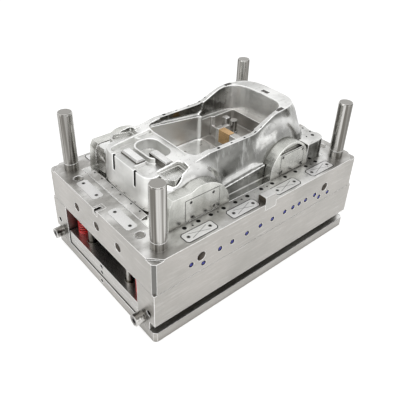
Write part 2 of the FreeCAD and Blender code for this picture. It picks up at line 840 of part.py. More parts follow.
pins = []
for index, (x, y, tip) in enumerate(pin_tips, start=1):
    shank_top = f"{PARTING} + {tip} - {RETAIN_LOW}"
    profile = [
        ("0", "0"),
        ("pin_head_dia / 2", "0"),
        ("pin_head_dia / 2", "pin_head_thick"),
        ("pin_dia / 2", "pin_head_thick"),
        ("pin_dia / 2", shank_top),
        ("0", shank_top),
    ]
    pins.append(turned(f"ejector_pin_{index}", profile, x, y, RETAIN_LOW))
node(group("ejector_pin_group", pins), "ejector_pins")
eject_blades = blades("ejector_blade", "0", RETAIN_LOW, f"{PARTING} + form_height")
node(group("blade_group", eject_blades), "ejector_blades")

# Guides of the ejector plates

guides = rods("guide_pin", guide_places, "guide_dia", f"{BOTTOM} - guide_seat", f"{CORE_LOW} + guide_seat")
node(group("guide_pin_group", guides), "ejector_guide_pins")
bush_bore = "(guide_dia / 2 + slide_fit)"
bush_profile = [
    (bush_bore, "0"),
    ("bush_flange_dia / 2", "0"),
    ("bush_flange_dia / 2", "bush_flange_thick"),
    ("bush_dia / 2", "bush_flange_thick"),
    ("bush_dia / 2", f"{RETAIN_TOP} - {EJECT_LOW}"),
    (bush_bore, f"{RETAIN_TOP} - {EJECT_LOW}"),
]
bushes = []
for index, (x, y) in enumerate(guide_places, start=1):
    bushes.append(turned(f"bush_{index}", bush_profile, x, y, EJECT_LOW))
node(group("bush_group", bushes), "ejector_guide_bushes")

# Springs as closed sleeves over the return pins

for index, (x, y) in enumerate(return_places, start=1):
    sleeve = rod(f"spring_outside_{index}", "spring_outer", x, y, RETAIN_TOP, f"{CORE_LOW} + spring_pocket")
    hollow = rod(f"spring_inside_{index}", "spring_inner", x, y, f"{RETAIN_TOP} - 1", above)
    node(cut(f"spring_cut_{index}", sleeve, [hollow]), f"return_spring_{index}")

# Support pillars, stop buttons and screws

supports = rods("support", support_places, "support_dia", BOTTOM, CORE_LOW)
node(group("support_group", supports), "support_pillars")
stop_places = spread(both("stop_x") + ["0"], both(STOP_Y))
node(group("stop_group", rods("stop", stop_places, "stop_dia", BOTTOM, EJECT_LOW)), "stop_buttons")

screw_top = f"({CORE_LOW} + screw_grip - screw_head_inset)"
screw_profile = [
    ("0", "0"),
    ("screw_head_dia / 2", "0"),
    ("screw_head_dia / 2", "screw_head_thick"),
    ("screw_dia / 2", "screw_head_thick"),
    ("screw_dia / 2", screw_top),
    ("0", screw_top),
]
screws = []
for index, (x, y) in enumerate(screw_places, start=1):
    screws.append(turned(f"clamp_screw_{index}", screw_profile, x, y, "screw_head_inset"))
node(group("clamp_screw_group", screws), "clamp_screws")

plate_screw_top = "(eject_thick + retain_thick - pin_head_thick - 2)"
plate_screw_profile = [
    ("0", "0"),
    ("plate_screw_head_dia / 2", "0"),
    ("plate_screw_head_dia / 2", "plate_screw_head_thick"),
    ("plate_screw_dia / 2", "plate_screw_head_thick"),
    ("plate_screw_dia / 2", plate_screw_top),
    ("0", plate_screw_top),
]
screws = []
for index, (x, y) in enumerate(plate_screw_places, start=1):
    screws.append(turned(f"plate_screw_{index}", plate_screw_profile, x, y, EJECT_LOW))
node(group("plate_screw_group", screws), "ejector_plate_screws")

# Stand-off feet on the front end

feet = []
for side, foot_y in (("near", f"-{FOOT_Y}"), ("far", FOOT_Y)):
    neck = bar(f"foot_neck_{side}", "foot_neck_dia", (-1, 0, 0), f"-{HALF_LENGTH}", foot_y, "foot_z",
               "foot_neck_length")
    head = bar(f"foot_head_{side}", "foot_dia", (-1, 0, 0), f"-{HALF_LENGTH} - foot_neck_length", foot_y,
               "foot_z", "foot_length")
    feet.append(fuse(f"foot_{side}", [neck, head]))
node(group("foot_group", feet), "stand_off_feet")

# Main form: plan loft cut to the side view of its top


NOSE_POWER = 6
RIM_POWER = 3.5
COCKPIT_POWER = 4
CORNER_STEPS = 9


def bent_end(start_x, tip_x, side_y, power):
    """Corners from a side line round to the tip on the middle line, square for a high power."""
    corners = []
    for step in range(CORNER_STEPS):
        angle = math.radians(90 * step / CORNER_STEPS)
        along = round(math.sin(angle) ** (2 / power), 4)
        across = round(math.cos(angle) ** (2 / power), 4)
        corners.append((f"{start_x} + ({tip_x} - ({start_x})) * {along}", f"({side_y}) * {across}"))
    return corners


def closed_plan(front_x, shoulder_x, shoulder_y, side_x, side_y, tail_x, rear_x, tail_power):
    """Plan that is the same on both sides: nose, shoulders, straight sides and round tail."""
    half = list(reversed(bent_end(f"-{shoulder_x}", f"-{front_x}", shoulder_y, NOSE_POWER)))
    half += [(f"-{side_x}", side_y)]
    half += bent_end(tail_x, rear_x, side_y, tail_power)
    other = [(x, f"-({y})") for x, y in reversed(half)]
    return [(f"-{front_x}", "0")] + half + [(rear_x, "0")] + other


def plan_loft(name, low, height, foot_plan, top_plan):
    """Straight-sided form between a plan at its foot and a plan at its top."""
    body = new_body(name, "0", "0", low)
    foot_sketch = outline(body, f"{name}_foot", "XY_Plane", foot_plan)
    top_sketch = outline(body, f"{name}_top", "XY_Plane", top_plan)
    top_sketch.setExpression("AttachmentOffset.Base.z", linked(height))
    loft = body.newObject("PartDesign::AdditiveLoft", f"{name}_loft")
    loft.Profile = foot_sketch
    loft.Sections = [top_sketch]
    loft.Ruled = True
    doc.recompute()
    return body


body = plan_loft(
    "form_body", PARTING, "form_height",
    closed_plan("body_front_foot", "body_shoulder_x", "body_shoulder_foot_y", "body_side_x",
                "body_side_foot_y", "body_tail_foot_x", "body_rear_foot", RIM_POWER),
    closed_plan("body_front_top", "body_shoulder_x", "body_shoulder_top_y", "body_side_x",
                "body_side_top_y", "body_tail_top_x", "body_rear_top", RIM_POWER))


def haunch_plan(reach_x, reach_y):
    """Wide tail over the rear arches, square across at the axis of the arch."""
    half = bent_end("rear_arch_x", reach_x, reach_y, RIM_POWER)
    other = [(x, f"-({y})") for x, y in reversed(half)]
    return half + [(reach_x, "0")] + other


# The haunch has a bevelled shoulder under its top edge
haunch = new_body("haunch_body", "0", "0", PARTING)
sections = [
    outline(haunch, "haunch_foot", "XY_Plane", haunch_plan("haunch_foot_x", "haunch_foot_y")),
    outline(haunch, "haunch_shoulder", "XY_Plane", haunch_plan("haunch_top_x", "haunch_top_y")),
    outline(haunch, "haunch_top", "XY_Plane",
            haunch_plan("(haunch_top_x - haunch_bevel)", "(haunch_top_y - haunch_bevel / 2)")),
]
sections[1].setExpression("AttachmentOffset.Base.z", linked("form_height - rear_shoulder_drop"))
sections[2].setExpression("AttachmentOffset.Base.z", linked("form_height"))
loft = haunch.newObject("PartDesign::AdditiveLoft", "haunch_loft")
loft.Profile = sections[0]
loft.Sections = sections[1:]
loft.Ruled = True
doc.recompute()
haunch_room = block("haunch_room", ("rear_arch_x", HALF_LENGTH), both("arch_seat_y"),
                    (PARTING, f"{PARTING} + form_height"))
haunch = common("haunch_shape", [haunch, haunch_room])

# Side view: level sides with a smooth rise to the crown
RISE_STEPS = 8
side_body = new_body("form_side_body", "0", "plate_width", PARTING)
side_view = [
    ("-plate_length", "-1"),
    ("-plate_length", "form_nose"),
    ("-body_front_top", "form_nose"),
    ("-form_cowl_x", "form_cowl"),
    ("-form_side_x", "form_side"),
]
for step in range(RISE_STEPS + 1):
    share = step / RISE_STEPS
    lift = round((1 - math.cos(math.pi * share)) / 2, 4)
    side_view.append((f"form_rise_x + (form_crown_x - form_rise_x) * {share}",
                      f"form_side + (form_height - form_side) * {lift}"))
side_view += [
    ("plate_length", "form_height"),
    ("plate_length", "-1"),
]
pad(side_body, "form_side_pad", "XZ_Plane", side_view, "2 * plate_width")
form = common("form_shape", [fuse("form_and_haunch", [body, haunch]), side_body])

# Fender domes turned about the wheel axis


def dome(name, axis_x, axis_rise, lip, top):
    body = new_body(name, axis_x, "0", f"{PARTING} + {axis_rise}")
    profile = [
        ("-arch_seat_y", "0"),
        ("-arch_seat_y", lip),
        (f"-arch_seat_y + (arch_seat_y - dome_inner_y) * 0.2", f"{lip} + ({top} - {lip}) * 0.45"),
        (f"-arch_seat_y + (arch_seat_y - dome_inner_y) * 0.55", f"{lip} + ({top} - {lip}) * 0.83"),
        ("-dome_inner_y", top),
        ("-dome_core_y", top),
        ("-dome_core_y", "0"),
    ]
    feature = body.newObject("PartDesign::Revolution", f"{name}_turn")
    feature.Profile = outline(body, f"{name}_profile", "YZ_Plane", profile)
    feature.ReferenceAxis = (origin_part(body, "Y_Axis"), [""])
    feature.Angle = 360
    doc.recompute()
    return body


front_dome = dome("front_dome", "-front_arch_x", "front_arch_rise", "front_dome_lip", "front_dome_top")
rear_dome = dome("rear_dome", "rear_arch_x", "rear_arch_rise", "rear_dome_lip", "rear_dome_top")
upper_space = block("upper_space", ("-dome_front_x", HALF_LENGTH), both(HALF_WIDTH),
                    (PARTING, f"{PARTING} + form_height"))
domes = common("domes_above", [fuse("domes_near", [front_dome, rear_dome]), upper_space])

# Sill between the arches and foot behind the rear arch

body = new_body("sill_body", "0", "-sill_inner_y", PARTING)
sill_section = [
    ("-sill_front_x", "0"),
    ("sill_rear_x", "0"),
    ("sill_rear_x", "sill_rear_height"),
    ("-sill_front_x", "sill_front_height"),
]
pad(body, "sill_pad", "XZ_Plane", sill_section, "sill_y - sill_inner_y")
sill = body

body = new_body("tail_foot_body", "0", "0", PARTING)
tail_plan = rectangle(("rear_arch_x + rear_arch_radius", "tail_foot_rear"),
                      ("-arch_face_y", "-tail_foot_inner_y"))
feature = pad(body, "tail_foot_pad", "XY_Plane", tail_plan, "tail_foot_height")
outer_corner = [
    name for name in upright_edges(feature.Shape)
    if feature.Shape.getElement(name).BoundBox.XMin > feature.Shape.BoundBox.XMax - 1
    and feature.Shape.getElement(name).BoundBox.YMax < feature.Shape.BoundBox.YMin + 1
]
round_edges(body, "tail_foot_round", feature, outer_corner, "tail_foot_corner")
tail_foot = body

near_side = fuse("near_side_forms", [domes, sill, tail_foot])
far_side = mirror("far_side_forms", near_side)
root = block("insert_root", ("-root_front", "root_rear"), both("arch_face_y"), (ROOT_LOW, PARTING))

# Cockpit: plan and side view give the upper opening, wells and a bay go deeper

def cockpit_plan(draft):
    return closed_plan(f"(cockpit_front_x + {draft})", "cockpit_corner_x", f"{RIM_INNER_Y} + {draft}",
                       "cockpit_side_x", f"{RIM_INNER_Y} + {draft}", "cockpit_tail_x",
                       f"({RIM_INNER_X} + {draft})", COCKPIT_POWER)


cockpit_outline_body = plan_loft("cockpit_plan_body", PARTING, "(form_height + 1)",
                                 cockpit_plan("-cockpit_draft"), cockpit_plan("0"))

body = new_body("cockpit_side_body", "0", "plate_width", PARTING)
cockpit_side = [
    ("-cockpit_front_x - 1", "cockpit_ledge_front"),
    ("partition_x", "panel_ledge"),
    ("partition_x", "cockpit_ledge_rear"),
    (f"{RIM_INNER_X} + 1", "cockpit_ledge_rear"),
    (f"{RIM_INNER_X} + 1", "form_height + 2"),
    ("-cockpit_front_x - 1", "form_height + 2"),
]
pad(body, "cockpit_side_pad", "XZ_Plane", cockpit_side, "2 * plate_width")
cockpit = common("cockpit_opening", [cockpit_outline_body, body])

well_top = f"({PARTING} + form_height)"


def well(name, x, y, floor, corner):
    body = new_body(name, "0", "0", f"{PARTING} + {floor}")
    feature = pad(body, f"{name}_pad", "XY_Plane", rectangle(x, y), f"form_height - {floor}")
    round_edges(body, f"{name}_round", feature, upright_edges(feature.Shape), corner)
    return body


both_sides = both("well_half_width")
foot_well = well("foot_well", ("-well_front_x", "partition_x"), both_sides, "well_floor", "well_round")

# Side panels let into the inside of both rims, ahead of the rise
body = new_body("panel_body", "0", "plate_width", PARTING)
panel_view = [
    ("-cockpit_corner_x", "form_side + 1"),
    ("-cockpit_corner_x", "panel_ledge + (cockpit_ledge_front - panel_ledge) * 0.7"),
    ("partition_x - 10", "panel_ledge"),
    ("panel_rear_x - 12", "panel_ledge + 15"),
    ("panel_rear_x", "form_side - 5"),
    ("panel_rear_x + 2", "form_height"),
]
pad(body, "panel_pad", "XZ_Plane", panel_view, "2 * plate_width")
panel_room = block("panel_room", ("-cockpit_corner_x", "form_crown_x"),
                   both(f"({RIM_INNER_Y} + panel_depth)"), (PARTING, well_top))
panels = common("panel_shape", [body, panel_room])

# Bay ahead of the pit, open to the foot well and closed at its back by a low wall
BAY_BACK = "(partition_x + bay_depth)"
PIT_BACK_FRONT = f"({BAY_BACK} + bay_wall)"
REAR_SEAM = PIT_BACK_FRONT
bay = block("bay", ("partition_x - 5", BAY_BACK), ("bay_near_y", "bay_far_y"),
            (f"{PARTING} + bay_floor", well_top))
bay_wall_cut = block("bay_wall_cut", (f"{BAY_BACK} - 1", f"{PIT_BACK_FRONT} + 1"),
                     ("bay_near_y", "pit_half_width"), (f"{PARTING} + bay_wall_top", well_top))
pit_near = well("pit_near", ("partition_x + partition_thick", "pit_rear_x"),
                ("-pit_half_width", "brass_far_y"), "pit_floor", "pit_round")
pit_far = well("pit_far", (PIT_BACK_FRONT, "pit_rear_x"), ("-pit_half_width", "pit_half_width"),
               "pit_floor", "pit_round")
post = block("square_post", ("post_x - post_length / 2", "post_x + post_length / 2"),
             ("post_y - post_width / 2", "post_y + post_width / 2"),
             (f"{PARTING} + pit_floor - 1", f"{PARTING} + cockpit_ledge_rear"))
pit = cut("pit_shape", fuse("pit_both", [pit_near, pit_far]), [post])

# Tray on the hood with a pedestal for the grille block and a raised wall round the bowl
tray_blank = well("tray_blank", ("-tray_front_x", "-tray_rear_x"), both("tray_half_width"), "tray_floor",
                  "tray_corner")
bowl_blank = well("bowl_blank", ("-bowl_front_x - bowl_wall", "-bowl_rear_x + bowl_wall"),
                  ("-bowl_near_y - bowl_wall", "bowl_far_y + bowl_wall"), "bowl_floor",
                  "bowl_round + bowl_wall")
hood_level = block("hood_level", ("-bowl_front_x - 2 * bowl_wall", "-cockpit_front_x + 4"),
                   both("tray_half_width"), (f"{PARTING} + bowl_rim", well_top))
pedestal = block("pedestal", ("-tray_front_x - 1", "-grille_x + grille_width / 2 + 4"),
                 ("grille_far_y - grille_length - 5", "grille_far_y + 5"),
                 (PARTING, f"{PARTING} + form_nose"))
tray = cut("tray_shape", tray_blank, [pedestal, bowl_blank])
bowl = well("bowl", ("-bowl_front_x", "-bowl_rear_x"), ("-bowl_near_y", "bowl_far_y"), "bowl_floor",
            "bowl_round")


def lamp_plan(inset):
    """Six-cornered plan of a lamp housing on the near side, drawn in by a wall."""
    return [
        (f"-lamp_front_x + {inset}", f"-lamp_inner_y - {inset}"),
        (f"-lamp_front_x + {inset}", f"-lamp_corner_y + {inset} * 0.4"),
        (f"-lamp_tip_x + {inset} * 0.3", f"-lamp_tip_y + {inset} * 1.1"),
        (f"-lamp_side_x - {inset} * 0.2", f"-lamp_side_y + {inset}"),
        (f"-lamp_rear_x - {inset}", f"-lamp_outer_y + {inset}"),
        (f"-lamp_rear_x - {inset}", f"-lamp_inner_y - {inset}"),
    ]


lamp_seat = new_body("lamp_seat_body", "0", "0", f"{PARTING} + lamp_low")
pad(lamp_seat, "lamp_seat_pad", "XY_Plane", lamp_plan("0"), "form_height")

brass_x = ("partition_x", "partition_x + partition_thick")
brass_y = ("-brass_near_y", "brass_far_y")
brass_z = (f"{PARTING} + pit_floor", f"{PARTING} + cockpit_ledge_rear")

grille_x = ("-grille_x - grille_width / 2", "-grille_x + grille_width / 2")
grille_y = ("grille_far_y - grille_length", "grille_far_y")
grille_low = f"({PARTING} + form_nose - grille_sink)"
column_x = ("-column_x - column_width / 2", "-column_x + column_width / 2")
column_y = ("-column_y - column_length / 2", "-column_y + column_length / 2")

tools = [cockpit, foot_well, panels, bay, bay_wall_cut, pit, hood_level, tray, bowl, lamp_seat,
         mirror("lamp_seat_image", lamp_seat)]
tools.append(block("brass_seat", brass_x, brass_y, (brass_z[0], well_top)))
tools.append(block("grille_seat", grille_x, grille_y, (grille_low, well_top)))
tools.append(block("column_seat", column_x, column_y, (f"{PARTING} + tray_floor", well_top)))
slot_low = f"{PARTING} + front_slot_foot"
for index, slot_y in enumerate(both("front_slot_y"), start=1):
    tools.append(block(f"front_slot_{index}", ("-body_front_foot - 1", "-body_front_top + front_slot_depth"),
                       (f"{slot_y} - front_slot_width / 2", f"{slot_y} + front_slot_width / 2"),
                       (slot_low, f"{PARTING} + form_height")))
for index, (pin_x, pin_y, tip) in enumerate(pin_tips, start=1):
    tools.append(rod(f"insert_pin_bore_{index}", "pin_dia + 2 * slide_fit", pin_x, pin_y,
                     f"{ROOT_LOW} - 1", f"{PARTING} + {tip} + 1"))
tools += blades("insert_blade_bore", "slide_fit", f"{ROOT_LOW} - 1", f"{well_top} + 1")
solid_form = fuse("insert_solid", [root, form, near_side, far_side])
whole_insert = cut("insert_cut", solid_form, tools)

# The form is made of three inserts that stand against each other
insert_height = (f"{ROOT_LOW} - 1", f"{well_top} + 1")
for label, low_x, high_x in (("core_insert_front", f"-{HALF_LENGTH}", "-front_seam_x"),
                             ("core_insert", "-front_seam_x", REAR_SEAM),
                             ("core_insert_rear", REAR_SEAM, HALF_LENGTH)):
    room = block(f"{label}_room", (low_x, high_x), both(HALF_WIDTH), insert_height)
    node(common(f"{label}_shape", [whole_insert, room]), label)

node(block("brass_block", brass_x, brass_y, brass_z), "brass_insert")
core_pin_profile = [
    ("0", "0"),
    ("core_pin_ring_dia / 2", "0"),
    ("core_pin_ring_dia / 2", "core_pin_ring_height"),
    ("core_pin_dia / 2", "core_pin_ring_height"),
    ("core_pin_dia / 2", "core_pin_height"),
    ("0", "core_pin_height"),
]
pin_foot = f"{PARTING} + pit_floor"
node(turned("core_pin_body", core_pin_profile, "core_pin_x", "core_pin_y", pin_foot), "core_pin")

lamp_body = new_body("lamp_body", "0", "0", f"{PARTING} + lamp_low")
pad(lamp_body, "lamp_pad", "XY_Plane", lamp_plan("0"), "lamp_high - lamp_low")
lamp_recess = new_body("lamp_recess_body", "0", "0", f"{PARTING} + lamp_high - lamp_recess")
pad(lamp_recess, "lamp_recess_pad", "XY_Plane", lamp_plan("lamp_wall"), "lamp_recess + 1")
lamp = node(cut("lamp_cut", lamp_body, [lamp_recess]), "lamp_housing_near")
node(mirror("lamp_image", lamp), "lamp_housing_far")

# Blocks that stand on the hood

def bevelled_block(name, x, y, z, height, corner):
    body = new_body(name, x[0], y[0], z)
    plan = rectangle(("0", f"{x[1]} - ({x[0]})"), ("0", f"{y[1]} - ({y[0]})"))
    feature = pad(body, f"{name}_pad", "XY_Plane", plan, height)
    top_edges = []
    for index, edge in enumerate(feature.Shape.Edges, start=1):
        if edge.BoundBox.ZMin > feature.Shape.BoundBox.ZMax - 0.01:
            top_edges.append(f"Edge{index}")
    bevel_edges(body, f"{name}_bevel", feature, top_edges, corner)
    return body


grille = bevelled_block("grille_body", grille_x, grille_y, grille_low, "grille_height", "grille_corner")
node(grille, "grille_block")
column = bevelled_block("column_body", column_x, column_y, f"{PARTING} + tray_floor", "column_height",
                        "column_corner")
node(column, "steering_block")

# Base strip in front of the form

body = new_body("strip_body", "0", "strip_far_y", PARTING)
strip_section = [
    ("-strip_front_x", "0"),
    ("-strip_rear_x", "0"),
    ("-strip_rear_x", "strip_rear_height"),
    ("-strip_front_x", "strip_front_height"),
]
pad(body, "strip_pad", "XZ_Plane", strip_section, "strip_far_y + strip_near_y")
node(body, "base_strip")

# Wheel arch inserts and their face plates

arch_thick = "(arch_face_y - arch_seat_y)"


def half_circle(axis_x, rise, radius, steps):
    """Corners of an arch from its rear foot over the top to its front foot."""
    corners = []
    for step in range(steps + 1):
        angle = 180 * step / steps
        corners.append((f"{axis_x} + {radius} * cos({angle} deg)", f"{rise} + {radius} * sin({angle} deg)"))
    return corners


body = new_body("front_arch_blank", "0", "-arch_seat_y", PARTING)
front_outline = half_circle("-front_arch_x", "0", "front_arch_half", 20)[:12]
front_outline += [
    ("-front_arch_x - front_arch_flat_x", "front_arch_shoulder"),
    ("-front_arch_front_x + front_arch_lean", "front_arch_shoulder"),
    ("-front_arch_front_x + front_arch_lean / 3", "front_arch_shoulder * 0.8"),
    ("-front_arch_front_x", "0"),
]
pad(body, "front_arch_pad", "XZ_Plane", front_outline, arch_thick)
front_plate_x = ("-front_plate_front_x", "-front_plate_rear_x")
front_plate_z = (f"{PARTING} + front_plate_foot", f"{PARTING} + front_plate_top")
plate_y = ("-arch_face_y", "-arch_face_y + face_plate_thick")
seat_y = ("-arch_face_y - 1", "-arch_face_y + face_plate_thick")
front_seat = block("front_plate_seat",
                   (f"{front_plate_x[0]} - seat_fit", f"{front_plate_x[1]} + seat_fit"),
                   seat_y, (f"{front_plate_z[0]} - seat_fit", f"{front_plate_z[1]} + seat_fit"))
front_arch = node(cut("front_arch_cut", body, [front_seat]), "front_arch_insert_near")
node(mirror("front_arch_image", front_arch), "front_arch_insert_far")
front_plate = node(block("front_plate_block", front_plate_x, plate_y, front_plate_z), "front_arch_plate_near")
node(mirror("front_plate_image", front_plate), "front_arch_plate_far")


def arch_outline(radius):
    corners = half_circle("rear_arch_x", "rear_arch_rise", radius, 20)
    return [(f"rear_arch_x + {radius}", "0")] + corners + [(f"rear_arch_x - {radius}", "0")]


body = new_body("rear_arch_blank", "0", "-arch_seat_y", PARTING)
pad(body, "rear_arch_pad", "XZ_Plane", arch_outline("rear_arch_radius"), arch_thick)
rear_seat = block("rear_plate_seat",
                  ("rear_plate_front_x - seat_fit", "rear_plate_rear_x + seat_fit"), seat_y,
                  (f"{PARTING} - 1", f"{PARTING} + rear_plate_top + seat_fit"))

# Dish between the plate and the lip of the arch
dish_body = new_body("rear_dish_body", "0", "-arch_face_y + rear_dish_depth", PARTING)
dish_plan = arch_outline("(rear_arch_radius - rear_lip)")
pad(dish_body, "rear_dish_pad", "XZ_Plane", dish_plan, "rear_dish_depth + 1")
dish_room = block("rear_dish_room", ("rear_plate_front_x - rear_lip", "rear_plate_rear_x + rear_lip"),
                  (f"-{HALF_WIDTH}", "0"), (f"{PARTING} + rear_plate_top + rear_dish_gap", well_top))
dish = common("rear_dish", [dish_body, dish_room])
rear_arch = node(cut("rear_arch_cut", body, [rear_seat, dish]), "rear_arch_insert_near")
node(mirror("rear_arch_image", rear_arch), "rear_arch_insert_far")
rear_plate = node(block("rear_plate_block", ("rear_plate_front_x", "rear_plate_rear_x"), plate_y,
                        (PARTING, f"{PARTING} + rear_plate_top")), "rear_arch_plate_near")
node(mirror("rear_plate_image", rear_plate), "rear_arch_plate_far")

# Check every object and write the nodes

doc.recompute()
for item in doc.Objects:
    if "Invalid" in item.State or "Error" in item.State:
        raise RuntimeError(f"{item.Name} failed: {item.State}")
    if item.isDerivedFrom("Part::Feature") and (item.Shape.isNull() or not item.Shape.isValid()):
        raise RuntimeError(f"{item.Name} has no valid shape")
labels = [item.Label for item in NODES]
if len(set(labels)) != len(labels):
    raise RuntimeError("two nodes share a name")
for item in NODES:
    if item.Shape.isNull() or not item.Shape.isValid():
        raise RuntimeError(f"{item.Label} has no valid shape")
for item in NODES:
    item.Shape.exportStep(f"parts/{item.Label}.step")
    print(item.Label, len(item.Shape.Solids), round(item.Shape.Volume / 1000))
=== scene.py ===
import json
import math

import bmesh
import bpy
import numpy as np
from mathutils import Matrix, Vector
from mathutils.bvhtree import BVHTree


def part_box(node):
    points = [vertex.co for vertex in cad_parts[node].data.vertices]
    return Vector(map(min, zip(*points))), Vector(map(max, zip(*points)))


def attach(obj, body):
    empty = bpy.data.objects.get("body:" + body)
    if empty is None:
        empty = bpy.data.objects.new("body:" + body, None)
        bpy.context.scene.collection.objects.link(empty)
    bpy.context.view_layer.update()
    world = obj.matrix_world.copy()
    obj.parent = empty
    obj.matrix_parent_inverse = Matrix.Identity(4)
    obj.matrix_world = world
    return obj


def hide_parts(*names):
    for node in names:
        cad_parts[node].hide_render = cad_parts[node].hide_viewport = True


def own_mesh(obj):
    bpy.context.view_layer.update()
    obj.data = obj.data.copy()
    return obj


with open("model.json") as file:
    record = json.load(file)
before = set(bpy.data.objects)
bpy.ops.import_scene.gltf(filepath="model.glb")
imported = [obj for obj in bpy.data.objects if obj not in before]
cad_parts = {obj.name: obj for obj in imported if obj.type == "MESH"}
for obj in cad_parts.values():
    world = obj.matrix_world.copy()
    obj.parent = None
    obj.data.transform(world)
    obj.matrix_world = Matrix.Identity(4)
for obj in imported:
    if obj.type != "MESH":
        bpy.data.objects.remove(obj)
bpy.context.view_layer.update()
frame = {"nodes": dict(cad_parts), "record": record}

NODES = frame["nodes"]
MM = 0.001
PARTING = 420.0


# Camera, solved from the plate edges in the photograph

CAMERA_PLACE = Vector((-1.3198, -1.4468, 1.6536))
CAMERA_YAW = math.radians(48.888)
CAMERA_PITCH = math.radians(-32.988)
CAMERA_ROLL = math.radians(2.016)
CAMERA_LENS = 44.735
CAMERA_SHIFT = (0.00364, -0.0812)


def make_camera():
    data = bpy.data.cameras.new("view_camera")
    data.lens = CAMERA_LENS
    data.sensor_width = 36.0
    data.shift_x, data.shift_y = CAMERA_SHIFT
    data.clip_start = 0.05
    data.clip_end = 60.0
    camera = bpy.data.objects.new("view_camera", data)
    bpy.context.scene.collection.objects.link(camera)
    level = math.cos(CAMERA_PITCH)
    forward = Vector((level * math.cos(CAMERA_YAW), level * math.sin(CAMERA_YAW), math.sin(CAMERA_PITCH)))
    right = forward.cross(Vector((0, 0, 1))).normalized()
    up = right.cross(forward)
    turned_right = math.cos(CAMERA_ROLL) * right + math.sin(CAMERA_ROLL) * up
    turned_up = math.cos(CAMERA_ROLL) * up - math.sin(CAMERA_ROLL) * right
    turn = Matrix((turned_right, turned_up, -forward)).transposed()
    camera.matrix_world = Matrix.Translation(CAMERA_PLACE) @ turn.to_4x4()
    bpy.context.scene.camera = camera


make_camera()


# Light and backdrop

SEEN_STRENGTH = 1.0
LIT_STRENGTH = 0.55
FLOOR_HALF = 12.0
FLOOR_DROP = 0.0005
FLOOR_TONE = 0.82
FLOOR_GLOW = 0.62

# Name, place, target, size and power of each lamp
LAMPS = (
    ("top_softbox", (-0.6, -0.5, 3.2), (0, 0, 0.4), (2.6, 2.6), 19),
    ("left_softbox", (-3.2, 0.6, 1.7), (-0.4, 0, 0.4), (1.6, 2.4), 11),
    ("front_softbox", (0.8, -3.4, 1.5), (0.2, 0, 0.3), (2.4, 1.6), 8),
)


def seen_share(tree):
    """1 for camera, glossy and transmitted rays, which all see the white background."""
    path = tree.nodes.new("ShaderNodeLightPath")
    first = tree.nodes.new("ShaderNodeMath")
    first.operation = "MAXIMUM"
    second = tree.nodes.new("ShaderNodeMath")
    second.operation = "MAXIMUM"
    tree.links.new(path.outputs["Is Camera Ray"], first.inputs[0])
    tree.links.new(path.outputs["Is Glossy Ray"], first.inputs[1])
    tree.links.new(first.outputs[0], second.inputs[0])
    tree.links.new(path.outputs["Is Transmission Ray"], second.inputs[1])
    return second.outputs[0]


def background(tree, strength):
    node = tree.nodes.new("ShaderNodeBackground")
    node.inputs["Color"].default_value = (1, 1, 1, 1)
    node.inputs["Strength"].default_value = strength
    return node.outputs[0]


def make_world():
    world = bpy.data.worlds.new("studio")
    bpy.context.scene.world = world
    world.use_nodes = True
    tree = world.node_tree
    tree.nodes.clear()
    output = tree.nodes.new("ShaderNodeOutputWorld")
    mix = tree.nodes.new("ShaderNodeMixShader")
    tree.links.new(seen_share(tree), mix.inputs[0])
    tree.links.new(background(tree, LIT_STRENGTH), mix.inputs[1])
    tree.links.new(background(tree, SEEN_STRENGTH), mix.inputs[2])
    tree.links.new(mix.outputs[0], output.inputs[0])


def area_light(name, place, target, size, power):
    data = bpy.data.lights.new(name, "AREA")
    data.shape = "RECTANGLE"
    data.size, data.size_y = size
    data.energy = power
    lamp = bpy.data.objects.new(name, data)
    lamp.location = place
    lamp.rotation_euler = (Vector(target) - Vector(place)).to_track_quat("-Z", "Y").to_euler()
    bpy.context.scene.collection.objects.link(lamp)


def make_floor():
    mesh = bpy.data.meshes.new("floor")
    turns = ((-1, -1), (1, -1), (1, 1), (-1, 1))
    corners = [(x * FLOOR_HALF, y * FLOOR_HALF, 0) for x, y in turns]
    mesh.from_pydata(corners, [], [(0, 1, 2, 3)])
    floor = bpy.data.objects.new("floor", mesh)
    floor.location.z = -FLOOR_DROP
    bpy.context.scene.collection.objects.link(floor)
    paint = bpy.data.materials.new("floor_paint")
    paint.use_nodes = True
    tree = paint.node_tree
    tree.nodes.clear()
    output = tree.nodes.new("ShaderNodeOutputMaterial")
    matt = tree.nodes.new("ShaderNodeBsdfDiffuse")
    matt.inputs["Color"].default_value = (FLOOR_TONE, FLOOR_TONE, FLOOR_TONE, 1)
    glow = tree.nodes.new("ShaderNodeEmission")
    strength = tree.nodes.new("ShaderNodeMath")
    strength.operation = "MULTIPLY"
    strength.inputs[1].default_value = FLOOR_GLOW
    add = tree.nodes.new("ShaderNodeAddShader")
    tree.links.new(seen_share(tree), strength.inputs[0])
    tree.links.new(strength.outputs[0], glow.inputs["Strength"])
    tree.links.new(matt.outputs[0], add.inputs[0])
    tree.links.new(glow.outputs[0], add.inputs[1])
    tree.links.new(add.outputs[0], output.inputs[0])
    mesh.materials.append(paint)


make_world()
make_floor()
for lamp_values in LAMPS:
    area_light(*lamp_values)
bpy.context.scene.view_settings.view_transform = "Standard"


# Materials

